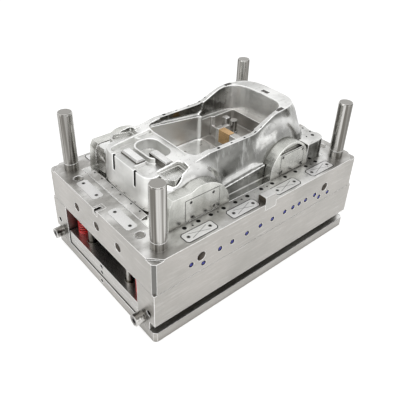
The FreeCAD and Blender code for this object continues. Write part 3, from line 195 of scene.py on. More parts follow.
class Shading:
    """Small helper that adds nodes to one material."""

    def __init__(self, name):
        self.material = bpy.data.materials.new(name)
        self.material.use_nodes = True
        self.tree = self.material.node_tree
        self.tree.nodes.clear()
        self.output = self.add("ShaderNodeOutputMaterial")
        self.shader = self.add("ShaderNodeBsdfPrincipled")
        self.link(self.shader.outputs[0], self.output.inputs[0])
        self.place = self.add("ShaderNodeTexCoord").outputs["Object"]

    def add(self, kind, **fields):
        node = self.tree.nodes.new(kind)
        for field, value in fields.items():
            setattr(node, field, value)
        return node

    def link(self, source, target):
        self.tree.links.new(source, target)

    def stretched(self, scale, turn=(0, 0, 0)):
        mapping = self.add("ShaderNodeMapping")
        mapping.inputs["Scale"].default_value = scale
        mapping.inputs["Rotation"].default_value = turn
        self.link(self.place, mapping.inputs[0])
        return mapping.outputs[0]

    def noise(self, scale, detail=3.0, stretch=(1, 1, 1), rough=0.5, turn=(0, 0, 0)):
        noise = self.add("ShaderNodeTexNoise")
        noise.inputs["Scale"].default_value = scale
        noise.inputs["Detail"].default_value = detail
        noise.inputs["Roughness"].default_value = rough
        self.link(self.stretched(stretch, turn), noise.inputs["Vector"])
        return noise.outputs["Fac"]

    def ranged(self, value, low, high, start=0.0, stop=1.0):
        node = self.add("ShaderNodeMapRange")
        node.inputs["From Min"].default_value = start
        node.inputs["From Max"].default_value = stop
        node.inputs["To Min"].default_value = low
        node.inputs["To Max"].default_value = high
        self.link(value, node.inputs["Value"])
        return node.outputs[0]

    def maths(self, operation, first, second):
        node = self.add("ShaderNodeMath", operation=operation)
        for index, value in enumerate((first, second)):
            if isinstance(value, (int, float)):
                node.inputs[index].default_value = value
            else:
                self.link(value, node.inputs[index])
        return node.outputs[0]

    def blend(self, factor, first, second):
        node = self.add("ShaderNodeMix", data_type="RGBA")
        self.link(factor, node.inputs[0])
        for socket, value in ((node.inputs[6], first), (node.inputs[7], second)):
            if isinstance(value, tuple):
                socket.default_value = (*value, 1)
            else:
                self.link(value, socket)
        return node.outputs[2]

    def rounded(self, radius):
        bevel = self.add("ShaderNodeBevel", samples=6)
        bevel.inputs["Radius"].default_value = radius
        return bevel.outputs[0]

    def edges(self, rounded):
        """1 along the piece's edges, 0 on its faces."""
        face = self.add("ShaderNodeNewGeometry").outputs["Normal"]
        dot = self.add("ShaderNodeVectorMath", operation="DOT_PRODUCT")
        self.link(rounded, dot.inputs[0])
        self.link(face, dot.inputs[1])
        return self.ranged(dot.outputs["Value"], 1.0, 0.0, 0.90, 0.997)

    def hollows(self, distance, low=0.25, high=0.95):
        """1 in deep corners, 0 on open faces."""
        shade = self.add("ShaderNodeAmbientOcclusion", samples=6)
        shade.inputs["Distance"].default_value = distance
        return self.ranged(shade.outputs["AO"], 1.0, 0.0, low, high)

    def along(self, axis):
        """Place along one axis of the frame."""
        split = self.add("ShaderNodeSeparateXYZ")
        self.link(self.place, split.inputs[0])
        return split.outputs[axis]

    def height(self):
        return self.along("Z")

    def normal(self, axis):
        """How far the face looks along one axis."""
        split = self.add("ShaderNodeSeparateXYZ")
        self.link(self.add("ShaderNodeTexCoord").outputs["Normal"], split.inputs[0])
        return split.outputs[axis]

    def facing(self, axis):
        """How far the face looks along one axis, either way."""
        return self.maths("ABSOLUTE", self.normal(axis), 0.0)

    def level(self):
        """1 on faces that look up, 0 on upright ones."""
        return self.normal("Z")

    def sharpness(self):
        """Above a half on ridges and below it in creases of a fine mesh."""
        return self.add("ShaderNodeNewGeometry").outputs["Pointiness"]

    def bump(self, height, strength, distance, normal=None):
        node = self.add("ShaderNodeBump")
        node.inputs["Strength"].default_value = strength
        node.inputs["Distance"].default_value = distance
        self.link(height, node.inputs["Height"])
        if normal is not None:
            self.link(normal, node.inputs["Normal"])
        return node.outputs[0]


PLATE_SIDE_Z = (0.258, 0.262)
DULL_SHARE = 0.72
DEEP_SHARE = 0.45


def steel(name, colour, spot, edge, rough, grain, grain_strength, radius=0.0016, hollow_shade=(0.20, 0.19, 0.17),
          mottle_scale=4.0, mottle_stretch=(1, 1, 1), scratch=0.0, hollow_shade_reach=0.03, top=None, deep=0.30,
          flat=None, ends=None, chamfer=None):
    """Machined steel: mottle, brushed grain, painted shade in corners, edges of wear and painted highlight.

    flat is a pair of tones of painted light for faces that look up, mixed by patches of painted sheen, and
    ends a tone of painted shade for faces along X. chamfer is the painted shade of the slanted corners of the
    core plate. A finish with a top tone keeps that tone as painted light on upper faces in deep spaces; the
    others take a darker painted shadow there.
    """
    make = Shading(name)
    shader = make.shader
    shader.inputs["Metallic"].default_value = 1.0
    mottle = make.ranged(make.noise(mottle_scale, 5.0, mottle_stretch, 0.6), 0.0, 1.0, 0.36, 0.66)
    body = make.blend(mottle, colour, spot)
    brushed = make.noise(160.0, 3.0, grain)
    dull = tuple(DULL_SHARE * part for part in colour)
    body = make.blend(make.ranged(brushed, 0.5, 0.0, 0.25, 0.6), body, dull)
    if scratch:
        lines = make.ranged(make.noise(60.0, 4.0, (0.15, 0.15, 6.0), 0.7), 0.0, scratch, 0.55, 0.75)
        body = make.blend(lines, body, edge)
    # Painted light on upward faces, with patches of painted sheen.
    if flat:
        shine = make.ranged(make.noise(4.0, 4.0, (1.0, 1.6, 1.0), 0.6), 0.0, 1.0, 0.42, 0.62)
        body = make.blend(make.ranged(make.level(), 0.0, 1.0, 0.6, 0.8), body, make.blend(shine, *flat))
    # Painted shade on faces along X.
    if ends:
        body = make.blend(make.ranged(make.facing("X"), 0.0, 1.0, 0.6, 0.8), body, ends)
    # Painted shade on the slanted corners of the core plate.
    if chamfer:
        slant = make.maths("MULTIPLY", make.facing("X"), make.facing("Y"))
        slant = make.maths("MULTIPLY", make.ranged(slant, 0.0, 1.0, 0.40, 0.48),
                           make.ranged(make.height(), 0.0, 1.0, *PLATE_SIDE_Z))
        body = make.blend(slant, body, chamfer)
    # Painted shade: darker in corners and hollows, found by ambient occlusion.
    body = make.blend(make.hollows(hollow_shade_reach), body, hollow_shade)
    # A top tone is painted light on upper faces; without it deep spaces take a darker painted shadow.
    if top:
        body = make.blend(make.ranged(make.level(), 0.0, 1.0, 0.6, 0.8), body, top)
    else:
        shadow = tuple(DEEP_SHARE * part for part in hollow_shade)
        body = make.blend(make.hollows(deep, 0.12, 0.50), body, shadow)
    # Bright edges: partly wear, partly painted highlight.
    rounded = make.rounded(radius)
    rim = make.edges(rounded)
    body = make.blend(rim, body, edge)
    make.link(body, shader.inputs["Base Color"])
    level = make.ranged(brushed, rough[0], rough[1], 0.3, 0.7)
    level = make.maths("SUBTRACT", level, make.maths("MULTIPLY", rim, 0.08))
    make.link(level, shader.inputs["Roughness"])
    make.link(make.bump(brushed, grain_strength, 0.0005, rounded), shader.inputs["Normal"])
    return make.material


# Places on the form, in metres, between which one tone goes over into the next
OUTER_SIDE = (0.148, 0.166)
NOSE_X = (-0.43, -0.37)
BAY_X = (0.070, 0.074)
BAY_Z = (0.553, 0.560)
LOW_FLOOR_Z = (0.449, 0.452)

# Sharpness of creases and ridges, where a half is flat. Creases take painted shade and ridges a painted
# highlight
CREASE = (0.44, 0.482)
RIDGE = (0.515, 0.555)

INNER_ROUGHNESS = 0.37


def core_steel():
    """Polished tool steel of the form: soft clouds, painted shade, painted light and painted highlights."""
    make = Shading("core_steel_finish")
    shader = make.shader
    shader.inputs["Metallic"].default_value = 1.0
    clouds = make.ranged(make.noise(6.0, 3.0, (1.0, 1.0, 1.6), 0.5), 0.0, 1.0, 0.40, 0.60)
    outside = make.ranged(make.maths("ABSOLUTE", make.along("Y"), 0.0), 0.0, 1.0, *OUTER_SIDE)
    # Painted light on the inner walls and painted shade on the outer walls of the same steel.
    lit_inner_wall = make.blend(clouds, (0.94, 0.94, 0.925), (1.0, 1.0, 0.985))
    shaded_outer_wall = make.blend(clouds, (0.12, 0.12, 0.112), (0.24, 0.24, 0.228))
    # The outer walls near the nose take a lighter tone of painted light.
    nose = make.ranged(make.along("X"), 1.0, 0.0, *NOSE_X)
    lit_nose_wall = make.blend(clouds, (0.42, 0.42, 0.40), (0.62, 0.62, 0.60))
    shaded_outer_wall = make.blend(nose, shaded_outer_wall, lit_nose_wall)
    upright = make.blend(outside, lit_inner_wall, shaded_outer_wall)
    # Faces along X take a lighter tone of painted light.
    lit_end_wall = make.blend(clouds, (0.62, 0.62, 0.60), (0.84, 0.84, 0.82))
    upright = make.blend(make.ranged(make.facing("X"), 0.0, 0.8, 0.55, 0.90), upright, lit_end_wall)
    # Upward faces take a lighter tone of painted light, with darker marks.
    flat = make.blend(clouds, (0.58, 0.58, 0.565), (0.90, 0.90, 0.885))
    marks = make.ranged(make.noise(34.0, 4.0, (1.0, 1.5, 1.0), 0.65), 0.0, 0.6, 0.56, 0.70)
    flat = make.blend(marks, flat, (0.38, 0.375, 0.36))
    uneven = make.maths("ADD", make.level(), make.ranged(make.noise(9.0, 3.0), -0.16, 0.16))
    body = make.blend(make.ranged(uneven, 0.0, 1.0, 0.22, 0.80), upright, flat)
    # Bright upright streaks of painted reflection.
    streaks = make.ranged(make.noise(26.0, 3.0, (1.8, 1.8, 0.25), 0.6), 0.0, 0.30, 0.56, 0.72)
    body = make.blend(streaks, body, (0.82, 0.83, 0.81))
    smears = make.ranged(make.noise(16.0, 4.0, (0.7, 1.6, 0.8), 0.6), 0.0, 0.35, 0.60, 0.76)
    body = make.blend(make.maths("MULTIPLY", smears, outside), body, (0.24, 0.235, 0.22))
    # Painted shade in corners and hollows, found by ambient occlusion.
    body = make.blend(make.hollows(0.012, 0.25, 0.70), body, (0.30, 0.295, 0.27))
    # Painted shade low in the bay.
    bay_shade = make.maths("MULTIPLY", make.ranged(make.along("X"), 0.0, 1.0, *BAY_X),
                     make.ranged(make.height(), 0.50, 0.0, *BAY_Z))
    bay_shade = make.maths("MULTIPLY", bay_shade, make.ranged(outside, 1.0, 0.0))
    body = make.blend(bay_shade, body, (0.30, 0.27, 0.24))
    # Painted shade in creases and painted highlights on ridges, read from the mesh's sharpness.
    sharp = make.sharpness()
    body = make.blend(make.ranged(sharp, 0.9, 0.0, *CREASE), body, (0.12, 0.115, 0.10))
    rim = make.ranged(sharp, 0.0, 1.0, *RIDGE)
    body = make.blend(rim, body, (1.0, 1.0, 0.99))
    make.link(body, shader.inputs["Base Color"])
    polish = make.ranged(make.noise(20.0, 4.0), 0.10, 0.24, 0.35, 0.65)
    floor_share = make.ranged(make.height(), 0.35, 1.0, *LOW_FLOOR_Z)
    outer_level = make.maths("MULTIPLY", make.maths("MULTIPLY", polish, floor_share), outside)
    inner_level = make.maths("MULTIPLY", make.maths("MULTIPLY", INNER_ROUGHNESS, floor_share),
                             make.ranged(outside, 1.0, 0.0))
    make.link(make.maths("ADD", outer_level, inner_level), shader.inputs["Roughness"])
    ripple = make.bump(make.noise(24.0, 2.0), 0.10, 0.004)
    make.link(make.bump(make.noise(260.0, 2.0), 0.05, 0.0005, ripple), shader.inputs["Normal"])
    return make.material


def polished_steel():
    """Ground and polished bars with upright dark and bright streaks of painted reflection and painted
    highlights on edges.
    """
    make = Shading("polished_steel_finish")
    shader = make.shader
    shader.inputs["Metallic"].default_value = 1.0
    # Upright dark and bright bands of painted reflection.
    wide = make.ranged(make.noise(75.0, 2.0, (1, 1, 0.01), 0.5), 0.0, 1.0, 0.42, 0.60)
    body = make.blend(wide, (0.15, 0.142, 0.128), (0.54, 0.53, 0.51))
    thin = make.ranged(make.noise(210.0, 2.0, (1, 1, 0.01), 0.6), 0.0, 0.6, 0.52, 0.66)
    body = make.blend(thin, body, (0.13, 0.12, 0.105))
    body = make.blend(make.ranged(make.level(), 0.0, 1.0, 0.85, 0.95), body, (0.34, 0.33, 0.31))
    # Painted highlights on the edges.
    rounded = make.rounded(0.0016)
    rim = make.edges(rounded)
    body = make.blend(rim, body, (0.9, 0.9, 0.89))
    make.link(body, shader.inputs["Base Color"])
    make.link(make.ranged(make.noise(140.0, 2.0, (0.3, 0.3, 3.0)), 0.12, 0.24), shader.inputs["Roughness"])
    make.link(make.bump(make.noise(160.0, 2.0, (1, 1, 0.1)), 0.06, 0.0005, rounded), shader.inputs["Normal"])
    return make.material


def plain(name, colour, rough, metallic=0.0, coat=0.0, specular=0.5):
    """Painted, plastic or blackened surface with a light mottle."""
    make = Shading(name)
    shader = make.shader
    shader.inputs["Specular IOR Level"].default_value = specular
    shader.inputs["Metallic"].default_value = metallic
    shader.inputs["Coat Weight"].default_value = coat
    spot = tuple(0.75 * part for part in colour)
    mottle = make.ranged(make.noise(30.0, 4.0), 0.0, 1.0, 0.35, 0.7)
    make.link(make.blend(mottle, colour, spot), shader.inputs["Base Color"])
    make.link(make.ranged(make.noise(90.0, 3.0), rough - 0.06, rough + 0.08), shader.inputs["Roughness"])
    make.link(make.bump(make.noise(400.0, 2.0), 0.08, 0.0004, make.rounded(0.0008)), shader.inputs["Normal"])
    return make.material


# Bright edge tone: partly wear, partly painted highlight.
EDGE_WEAR_AND_HIGHLIGHT = (1.0, 1.0, 0.99)
LONG_GRAIN = (0.5, 3.0, 14.0)
EVEN_GRAIN = (3.0, 3.0, 3.0)

# Ground steel: lighter top tones with patches of sheen are painted light; the dark chamfer tone is painted
# shade.
GROUND = steel("ground_steel_finish", colour=(0.38, 0.368, 0.345), spot=(0.46, 0.44, 0.415), edge=EDGE_WEAR_AND_HIGHLIGHT,
               rough=(0.26, 0.42), grain=LONG_GRAIN, grain_strength=0.22, radius=0.004, scratch=0.35,
               flat=((0.40, 0.39, 0.372), (0.84, 0.835, 0.82)), chamfer=(0.17, 0.168, 0.16))
# Ejector plates: the lighter top tone is painted light on their upper faces.
EJECT = steel("ejector_plate_finish", colour=(0.42, 0.41, 0.39), spot=(0.50, 0.49, 0.47), edge=EDGE_WEAR_AND_HIGHLIGHT,
              rough=(0.22, 0.36), grain=(1.0, 3.0, 14.0), grain_strength=0.10, radius=0.003,
              mottle_scale=12.0, top=(0.62, 0.60, 0.58))
BUSH = steel("bush_finish", colour=(0.26, 0.23, 0.18), spot=(0.34, 0.30, 0.25), edge=(0.7, 0.68, 0.62),
             rough=(0.2, 0.3), grain=EVEN_GRAIN, grain_strength=0.10, mottle_scale=60.0)
# Threads: the same steel painted darker for the shade inside the lifting holes.
THREAD = steel("thread_finish", colour=(0.13, 0.11, 0.095), spot=(0.19, 0.165, 0.145), edge=(0.4, 0.39, 0.36),
               rough=(0.3, 0.4), grain=EVEN_GRAIN, grain_strength=0.10, mottle_scale=60.0,
               top=(0.13, 0.11, 0.095))
BLADE = steel("blade_finish", colour=(0.05, 0.045, 0.04), spot=(0.12, 0.11, 0.10), edge=(0.3, 0.29, 0.27),
              rough=(0.25, 0.4), grain=EVEN_GRAIN, grain_strength=0.15, mottle_scale=60.0)
CORE = core_steel()
# Side locks: lighter top tones are painted light and the dark end tone is painted shade.
LOCK = steel("lock_finish", colour=(0.42, 0.41, 0.39), spot=(0.50, 0.49, 0.47), edge=EDGE_WEAR_AND_HIGHLIGHT,
             rough=(0.26, 0.42), grain=LONG_GRAIN, grain_strength=0.2, radius=0.003,
             flat=((0.66, 0.65, 0.64), (0.84, 0.84, 0.83)), ends=(0.085, 0.068, 0.05))
# Blocks: the dark tone of the sides is painted shade and the lighter top tones are painted light.
BLOCK = steel("block_finish", colour=(0.10, 0.095, 0.085), spot=(0.17, 0.16, 0.15), edge=EDGE_WEAR_AND_HIGHLIGHT,
              rough=(0.2, 0.3), grain=EVEN_GRAIN, grain_strength=0.10, radius=0.002,
              flat=((0.70, 0.70, 0.69), (0.92, 0.92, 0.91)))
WEAR = steel("wear_plate_finish", colour=(0.80, 0.795, 0.79), spot=(0.90, 0.895, 0.89),
             edge=(0.94, 0.94, 0.93), rough=(0.38, 0.52), grain=(8.0, 1.0, 8.0), grain_strength=0.15)
INSERT = steel("insert_plate_finish", colour=(0.54, 0.545, 0.51), spot=(0.80, 0.80, 0.765),
               edge=(1.0, 1.0, 0.98), rough=(0.20, 0.34), grain=(9.0, 9.0, 3.0), grain_strength=0.10,
               radius=0.003, mottle_scale=9.0, mottle_stretch=(1.5, 1.5, 0.3), hollow_shade_reach=0.02, deep=0.05)
LAMP = steel("lamp_housing_finish", colour=(0.56, 0.56, 0.54), spot=(0.80, 0.80, 0.78), edge=(1.0, 1.0, 0.98),
             rough=(0.20, 0.34), grain=EVEN_GRAIN, grain_strength=0.10, radius=0.003, mottle_scale=14.0,
             hollow_shade_reach=0.008, deep=0.02)
POLISHED = polished_steel()
BRASS = steel("brass_finish", colour=(0.60, 0.38, 0.18), spot=(0.68, 0.46, 0.25), edge=(0.85, 0.6, 0.3),
              rough=(0.25, 0.4), grain=(2.0, 2.0, 2.0), grain_strength=0.2, hollow_shade=(0.22, 0.12, 0.05))
SPRING = plain("spring_enamel", (0.78, 0.014, 0.012), 0.28, coat=0.4)
PLUG = plain("plug_plastic", (0.09, 0.10, 0.62), 0.38)
BLACK = plain("black_oxide", (0.018, 0.018, 0.019), 0.42, metallic=0.4)

SLOT_FINISH = {
    "ground_steel": GROUND,
    "wear_steel": WEAR,
    "core_steel": CORE,
    "insert_steel": INSERT,
    "polished_steel": POLISHED,
    "spring_red": SPRING,
    "plug_blue": PLUG,
    "brass": BRASS,
    "black_steel": BLACK,
}

# Nodes whose own surface differs from the rest of their slot
NODE_FINISH = {
    "ejector_retainer_plate": EJECT,
    "ejector_plate": EJECT,
    "ejector_blades": BLADE,
    "ejector_guide_bushes": BUSH,
    "base_strip": GROUND,
    "lamp_housing_near": LAMP,
    "lamp_housing_far": LAMP,
    "side_lock_near": LOCK,
    "side_lock_far": LOCK,
    "rear_arch_insert_near": INSERT,
    "rear_arch_insert_far": INSERT,
    "grille_block": BLOCK,
    "steering_block": BLOCK,
    "front_arch_insert_near": INSERT,
    "front_arch_insert_far": INSERT,
}


def finish_cad_nodes():
    """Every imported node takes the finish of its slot, or its own."""
    for row in frame["record"]["subparts"]:
        mesh = NODES[row["node"]].data
        mesh.materials.clear()
        mesh.materials.append(NODE_FINISH.get(row["node"], SLOT_FINISH[row["material_slot"]]))


finish_cad_nodes()


# Meshes

def add_piece(name, mesh, material, body):
    piece = bpy.data.objects.new(name, mesh)
    bpy.context.scene.collection.objects.link(piece)
    mesh.materials.clear()
    mesh.materials.append(material)
    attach(piece, body)
    return piece


# Form of the core: the three inserts as one piece with milled corners and blended fenders

CORE_PARTS = ("core_insert_front", "core_insert", "core_insert_rear")
CORE_VOXEL = 0.003
RIM_LINE_X = (-450, -250, -172, 60, 107, 155, 203, 250, 480)
RIM_LINE_Z = (586, 608, 621, 621, 629, 649, 670, 678, 678)

# Bands in which the sides of the fenders are blended, in metres: where each begins and where it is full
BLEND_INNER_Y = (0.166, 0.184)
BLEND_OUTER_Y = (0.226, 0.238)
BLEND_SILL_Z = (0.425, 0.450)
BLEND_FRONT_X = (-0.452, -0.430)
BLEND_REAR_X = (0.470, 0.490)
BLEND_BELOW_RIM = (0.020, 0.006)
BLEND_ROUNDS = 90
FINISH_ROUNDS = 2


def voxel_mesh(source):
    """Closed mesh of even small faces round everything in the source mesh."""
    holder = bpy.data.objects.new("core_source", source)
    bpy.context.scene.collection.objects.link(holder)
    remesh = holder.modifiers.new("even", "REMESH")
    remesh.mode = "VOXEL"
    remesh.voxel_size = CORE_VOXEL
    graph = bpy.context.evaluated_depsgraph_get()
    graph.update()
    made = bpy.data.meshes.new_from_object(holder.evaluated_get(graph))
    bpy.data.objects.remove(holder)
    return made


def relax(points, pairs, weights, rounds):
    """Moves each point towards the middle of its neighbours, as far as its weight says."""
    starts = np.concatenate([pairs[:, 0], pairs[:, 1]])
    ends = np.concatenate([pairs[:, 1], pairs[:, 0]])
    count = len(points)
    degree = np.maximum(np.bincount(starts, minlength=count), 1)
    for _ in range(rounds):
        for axis in range(3):
            middle = np.bincount(starts, points[ends, axis], count) / degree
            points[:, axis] += weights * (middle - points[:, axis])
    return points


def ease(value, low, high):
    """Smooth step from 0 at low to 1 at high."""
    part = np.clip((value - low) / (high - low), 0.0, 1.0)
    return part * part * (3 - 2 * part)


# Side outlines of the front fender corners, X and Z in millimetres, and the sides on which they lie
CORNER_INNER = ((-448, 421), (-445, 500), (-441, 552), (-420, 566), (-380, 566), (-380, 421))
CORNER_OUTER = ((-451, 421), (-446, 520), (-437, 545), (-424, 553), (-380, 553), (-380, 421))
CORNER_INNER_Y = 155
CORNER_OUTER_Y = 239.8


def fill_corner(work, sign):
    """Front corner of a fender, flush with the leaning front of its arch insert."""
    inner = [work.verts.new((x * MM, sign * CORNER_INNER_Y * MM, z * MM)) for x, z in CORNER_INNER]
    outer = [work.verts.new((x * MM, sign * CORNER_OUTER_Y * MM, z * MM)) for x, z in CORNER_OUTER]
    made = [work.faces.new(inner), work.faces.new(list(reversed(outer)))]
    for index in range(len(inner)):
        beside = (index + 1) % len(inner)
        made.append(work.faces.new((inner[index], outer[index], outer[beside], inner[beside])))
    bmesh.ops.recalc_face_normals(work, faces=made)


PIN_MIDDLE = 0.4
PIN_FOOT = 0.365
TIP_DEPTH = 0.002


def core_source():
    """Inserts with their pin and blade bores filled to just under the tips."""
    work = bmesh.new()
    for name in CORE_PARTS:
        work.from_mesh(NODES[name].data)
    for name in ("ejector_pins", "ejector_blades"):
        start = len(work.verts)
        work.from_mesh(NODES[name].data)
        work.verts.ensure_lookup_table()
        for vert in work.verts[start:]:
            if vert.co.z < PIN_MIDDLE:
                vert.co.z = PIN_FOOT
            else:
                vert.co.z -= TIP_DEPTH
    for sign in (-1, 1):
        fill_corner(work, sign)
    bmesh.ops.remove_doubles(work, verts=work.verts, dist=0.00002)
    source = bpy.data.meshes.new("core_source")
    work.to_mesh(source)
    work.free()
    return source


def make_core_form():
    """Form with blended fenders. Returns its surface for what lies on it."""
    mesh = voxel_mesh(core_source())
    mesh.name = "core_form"
    count = len(mesh.vertices)
    points = np.empty(count * 3)
    mesh.vertices.foreach_get("co", points)
    points = points.reshape(-1, 3)
    pairs = np.empty(len(mesh.edges) * 2, dtype=np.int64)
    mesh.edges.foreach_get("vertices", pairs)
    pairs = pairs.reshape(-1, 2)
    side = np.abs(points[:, 1])
    rim = np.interp(points[:, 0] / MM, RIM_LINE_X, RIM_LINE_Z) * MM
    outer = ease(side, *BLEND_INNER_Y) * (1 - ease(side, *BLEND_OUTER_Y))
    below_rim = 1 - ease(points[:, 2], rim - BLEND_BELOW_RIM[0], rim - BLEND_BELOW_RIM[1])
    above_sill = ease(points[:, 2], *BLEND_SILL_Z)
    within = ease(points[:, 0], *BLEND_FRONT_X) * (1 - ease(points[:, 0], *BLEND_REAR_X))
    points = relax(points, pairs, 0.6 * outer * below_rim * above_sill * within, BLEND_ROUNDS)
    points = relax(points, pairs, np.full(count, 0.5), FINISH_ROUNDS)
    mesh.vertices.foreach_set("co", points.ravel())
    mesh.update()
    mesh.shade_smooth()
    piece = add_piece("core_form", mesh, CORE, "mould_base")
    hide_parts(*CORE_PARTS)
    corners = [vert.co for vert in mesh.vertices]
    return BVHTree.FromPolygons(corners, [tuple(face.vertices) for face in mesh.polygons])


form_surface = make_core_form()


# Return springs

SPRING_TURNS = 15
SPRING_WIRE = 0.0035
STEPS_PER_TURN = 28
WIRE_SIDES = 8
CLOSED_SHARE = 0.035


def coil_mesh(name, centre, low, high, mean_radius, wire_radius, turns):
    """Compression spring with closed end turns."""
    steps = int(turns * STEPS_PER_TURN)
    ring = WIRE_SIDES
    verts = []
    faces = []
    for step in range(steps + 1):
        part = step / steps
        eased = min(max((part * turns - 1.0) / (turns - 2.0), 0.0), 1.0)
        rise = CLOSED_SHARE * part + (1 - CLOSED_SHARE) * eased
        height = low + wire_radius + (high - low - 2 * wire_radius) * rise
        angle = 2 * math.pi * turns * part
        out = Vector((math.cos(angle), math.sin(angle), 0))
        middle = Vector((centre[0], centre[1], height)) + out * mean_radius
        for side in range(ring):
            roll = 2 * math.pi * side / ring
            verts.append(middle + out * (wire_radius * math.cos(roll))
                         + Vector((0, 0, 1)) * (wire_radius * math.sin(roll)))
    for step in range(steps):
        for side in range(ring):
            here = step * ring + side
            beside = step * ring + (side + 1) % ring
            faces.append((here, here + ring, beside + ring, beside))
    faces.append(tuple(range(ring)))
    faces.append(tuple(range(steps * ring, (steps + 1) * ring))[::-1])
    mesh = bpy.data.meshes.new(name)
    mesh.from_pydata(verts, [], faces)
    mesh.shade_smooth()
    return mesh


def make_springs():
    for index in range(1, 5):
        node = f"return_spring_{index}"
        name = f"spring_coil_{index}"
        low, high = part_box(node)
        centre = (low + high) / 2
        mean_radius = (high.x - low.x) / 2 - SPRING_WIRE
        mesh = coil_mesh(name, centre, low.z, high.z, mean_radius, SPRING_WIRE, SPRING_TURNS)
        piece = add_piece(name, mesh, SPRING, "mould_base")
        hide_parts(node)
        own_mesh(piece)


make_springs()


# Small fastenings and lines that lie on the faces. Places are in millimetres.

class Face:
    """A flat face: a point on it and its normal. Flat shapes are drawn by their two face axes."""

    def __init__(self, point, normal, across):
        self.point = Vector(point) * MM
        self.normal = Vector(normal).normalized()
        self.across = Vector(across).normalized()
        self.along = self.normal.cross(self.across)

    def at(self, u, v, lift):
        return self.point + (self.across * u + self.along * v + self.normal * lift) * MM


TOP = Face((0, 0, PARTING), (0, 0, 1), (1, 0, 0))
WEAR_TOP = Face((0, 0, PARTING + 1), (0, 0, 1), (1, 0, 0))
FOOT_TOP = Face((0, 0, PARTING + 100), (0, 0, 1), (1, 0, 0))
ARCH_NEAR = Face((0, -291, PARTING), (0, -1, 0), (1, 0, 0))
ARCH_FAR = Face((0, 291, PARTING), (0, 1, 0), (-1, 0, 0))
STRIP_TOP = Face((-469, 0, PARTING + 9.1), (-8, 0, 33), (0, 1, 0))


def turned(work, face, place, profile, sides):
    """Open turned skin about an axis square to the face, from radius and height pairs."""
    rings = []
    for radius, lift in profile:
        ring = []
        for side in range(sides):
            angle = 2 * math.pi * side / sides
            spot = face.at(place[0] + radius * math.cos(angle), place[1] + radius * math.sin(angle), lift)
            ring.append(work.verts.new(spot))
        rings.append(ring)
    for inner, outer in zip(rings, rings[1:]):
        for side in range(sides):
            beside = (side + 1) % sides
            work.faces.new((inner[side], inner[beside], outer[beside], outer[side]))
    return rings


def lathe(work, face, place, profile, sides=24):
    """Turned shape with both ends closed."""
    rings = turned(work, face, place, profile, sides)
    work.faces.new(rings[-1])
    work.faces.new(list(reversed(rings[0])))


def ribbon(work, face, corners, width, low, high):
    """Closed band of a given width round a corner list."""
    count = len(corners)
    inner = []
    outer = []
    for index in range(count):
        before = Vector(corners[index - 1])
        here = Vector(corners[index])
        after = Vector(corners[(index + 1) % count])
        first = (here - before).normalized()
        second = (after - here).normalized()
        bisector = Vector((first.y + second.y, -first.x - second.x)).normalized()
        reach = width / max(bisector.dot(Vector((first.y, -first.x))), 0.3)
        inner.append(here)
        outer.append(here + bisector * reach)
    rows = []
    for loop, lift in ((inner, low), (inner, high), (outer, high), (outer, low)):
        rows.append([work.verts.new(face.at(spot.x, spot.y, lift)) for spot in loop])
    for row in range(4):
        start, stop = rows[row], rows[(row + 1) % 4]
        for index in range(count):
            beside = (index + 1) % count
            work.faces.new((start[index], start[beside], stop[beside], stop[index]))


def bar_line(work, face, start, stop, width, low, high):
    """Thin straight raised line between two places."""
    start = Vector(start)
    stop = Vector(stop)
    run = (stop - start).normalized()
    off = Vector((-run.y, run.x)) * width / 2
    corners = [start - off, stop - off, stop + off, start + off]
    lower = [work.verts.new(face.at(spot.x, spot.y, low)) for spot in corners]
    upper = [work.verts.new(face.at(spot.x, spot.y, high)) for spot in corners]
    work.faces.new(upper)
    work.faces.new(list(reversed(lower)))
    for index in range(4):
        beside = (index + 1) % 4
        work.faces.new((lower[index], lower[beside], upper[beside], upper[index]))


class Set:
    """Collects many small shapes of one finish into one piece."""

    def __init__(self, name, material, slot):
        self.name = name
        self.material = material
        self.slot = slot
        self.work = bmesh.new()

    def finish(self):
        bmesh.ops.recalc_face_normals(self.work, faces=self.work.faces)
        mesh = bpy.data.meshes.new(self.name)
        self.work.to_mesh(mesh)
        self.work.free()
        return add_piece(self.name, mesh, self.material, "mould_base")


# Near black: painted shade inside holes, sockets, slots and pockets, and the dark gaps and joints between
# parts.
SHADE_AND_GAP_DARK = plain("hole_shade_and_gap_dark", (0.012, 0.011, 0.011), 0.6, specular=0.04)
HEAD = steel("screw_head_finish", (0.10, 0.098, 0.094), (0.16, 0.155, 0.15), (0.4, 0.4, 0.39),
             (0.3, 0.45), (3.0, 3.0, 3.0), 0.15, mottle_scale=60.0)

# The dark discs and bars of painted shade, with the dark gaps round the blades.
holes = Set("screw_recesses", SHADE_AND_GAP_DARK, "black_steel")
heads = Set("screw_heads", HEAD, "ground_steel")
lines = Set("seam_lines", SHADE_AND_GAP_DARK, "black_steel")
threads = Set("lifting_threads", THREAD, "black_steel")


def socket_screw(face, place, radius):
    """Cap screw seen from above: dark gap and dark hexagon of painted shade, and a bevelled head."""
    lathe(holes.work, face, place, [(radius * 1.16, -0.4), (radius * 1.16, 0.12)])
    lathe(heads.work, face, place, [(radius, -0.4), (radius, 0.2), (radius * 0.86, 0.45)])
    lathe(holes.work, face, place, [(radius * 0.52, 0.1), (radius * 0.52, 0.55)], 6)


def dark_hole(face, place, radius):
    """Open hole with a bevelled rim, its inside a dark disc of painted shade."""
    lathe(heads.work, face, place, [(radius * 1.1, -0.4), (radius * 1.1, 0.1), (radius, 0.3)])
    lathe(holes.work, face, place, [(radius * 0.95, -0.3), (radius * 0.95, 0.45)])


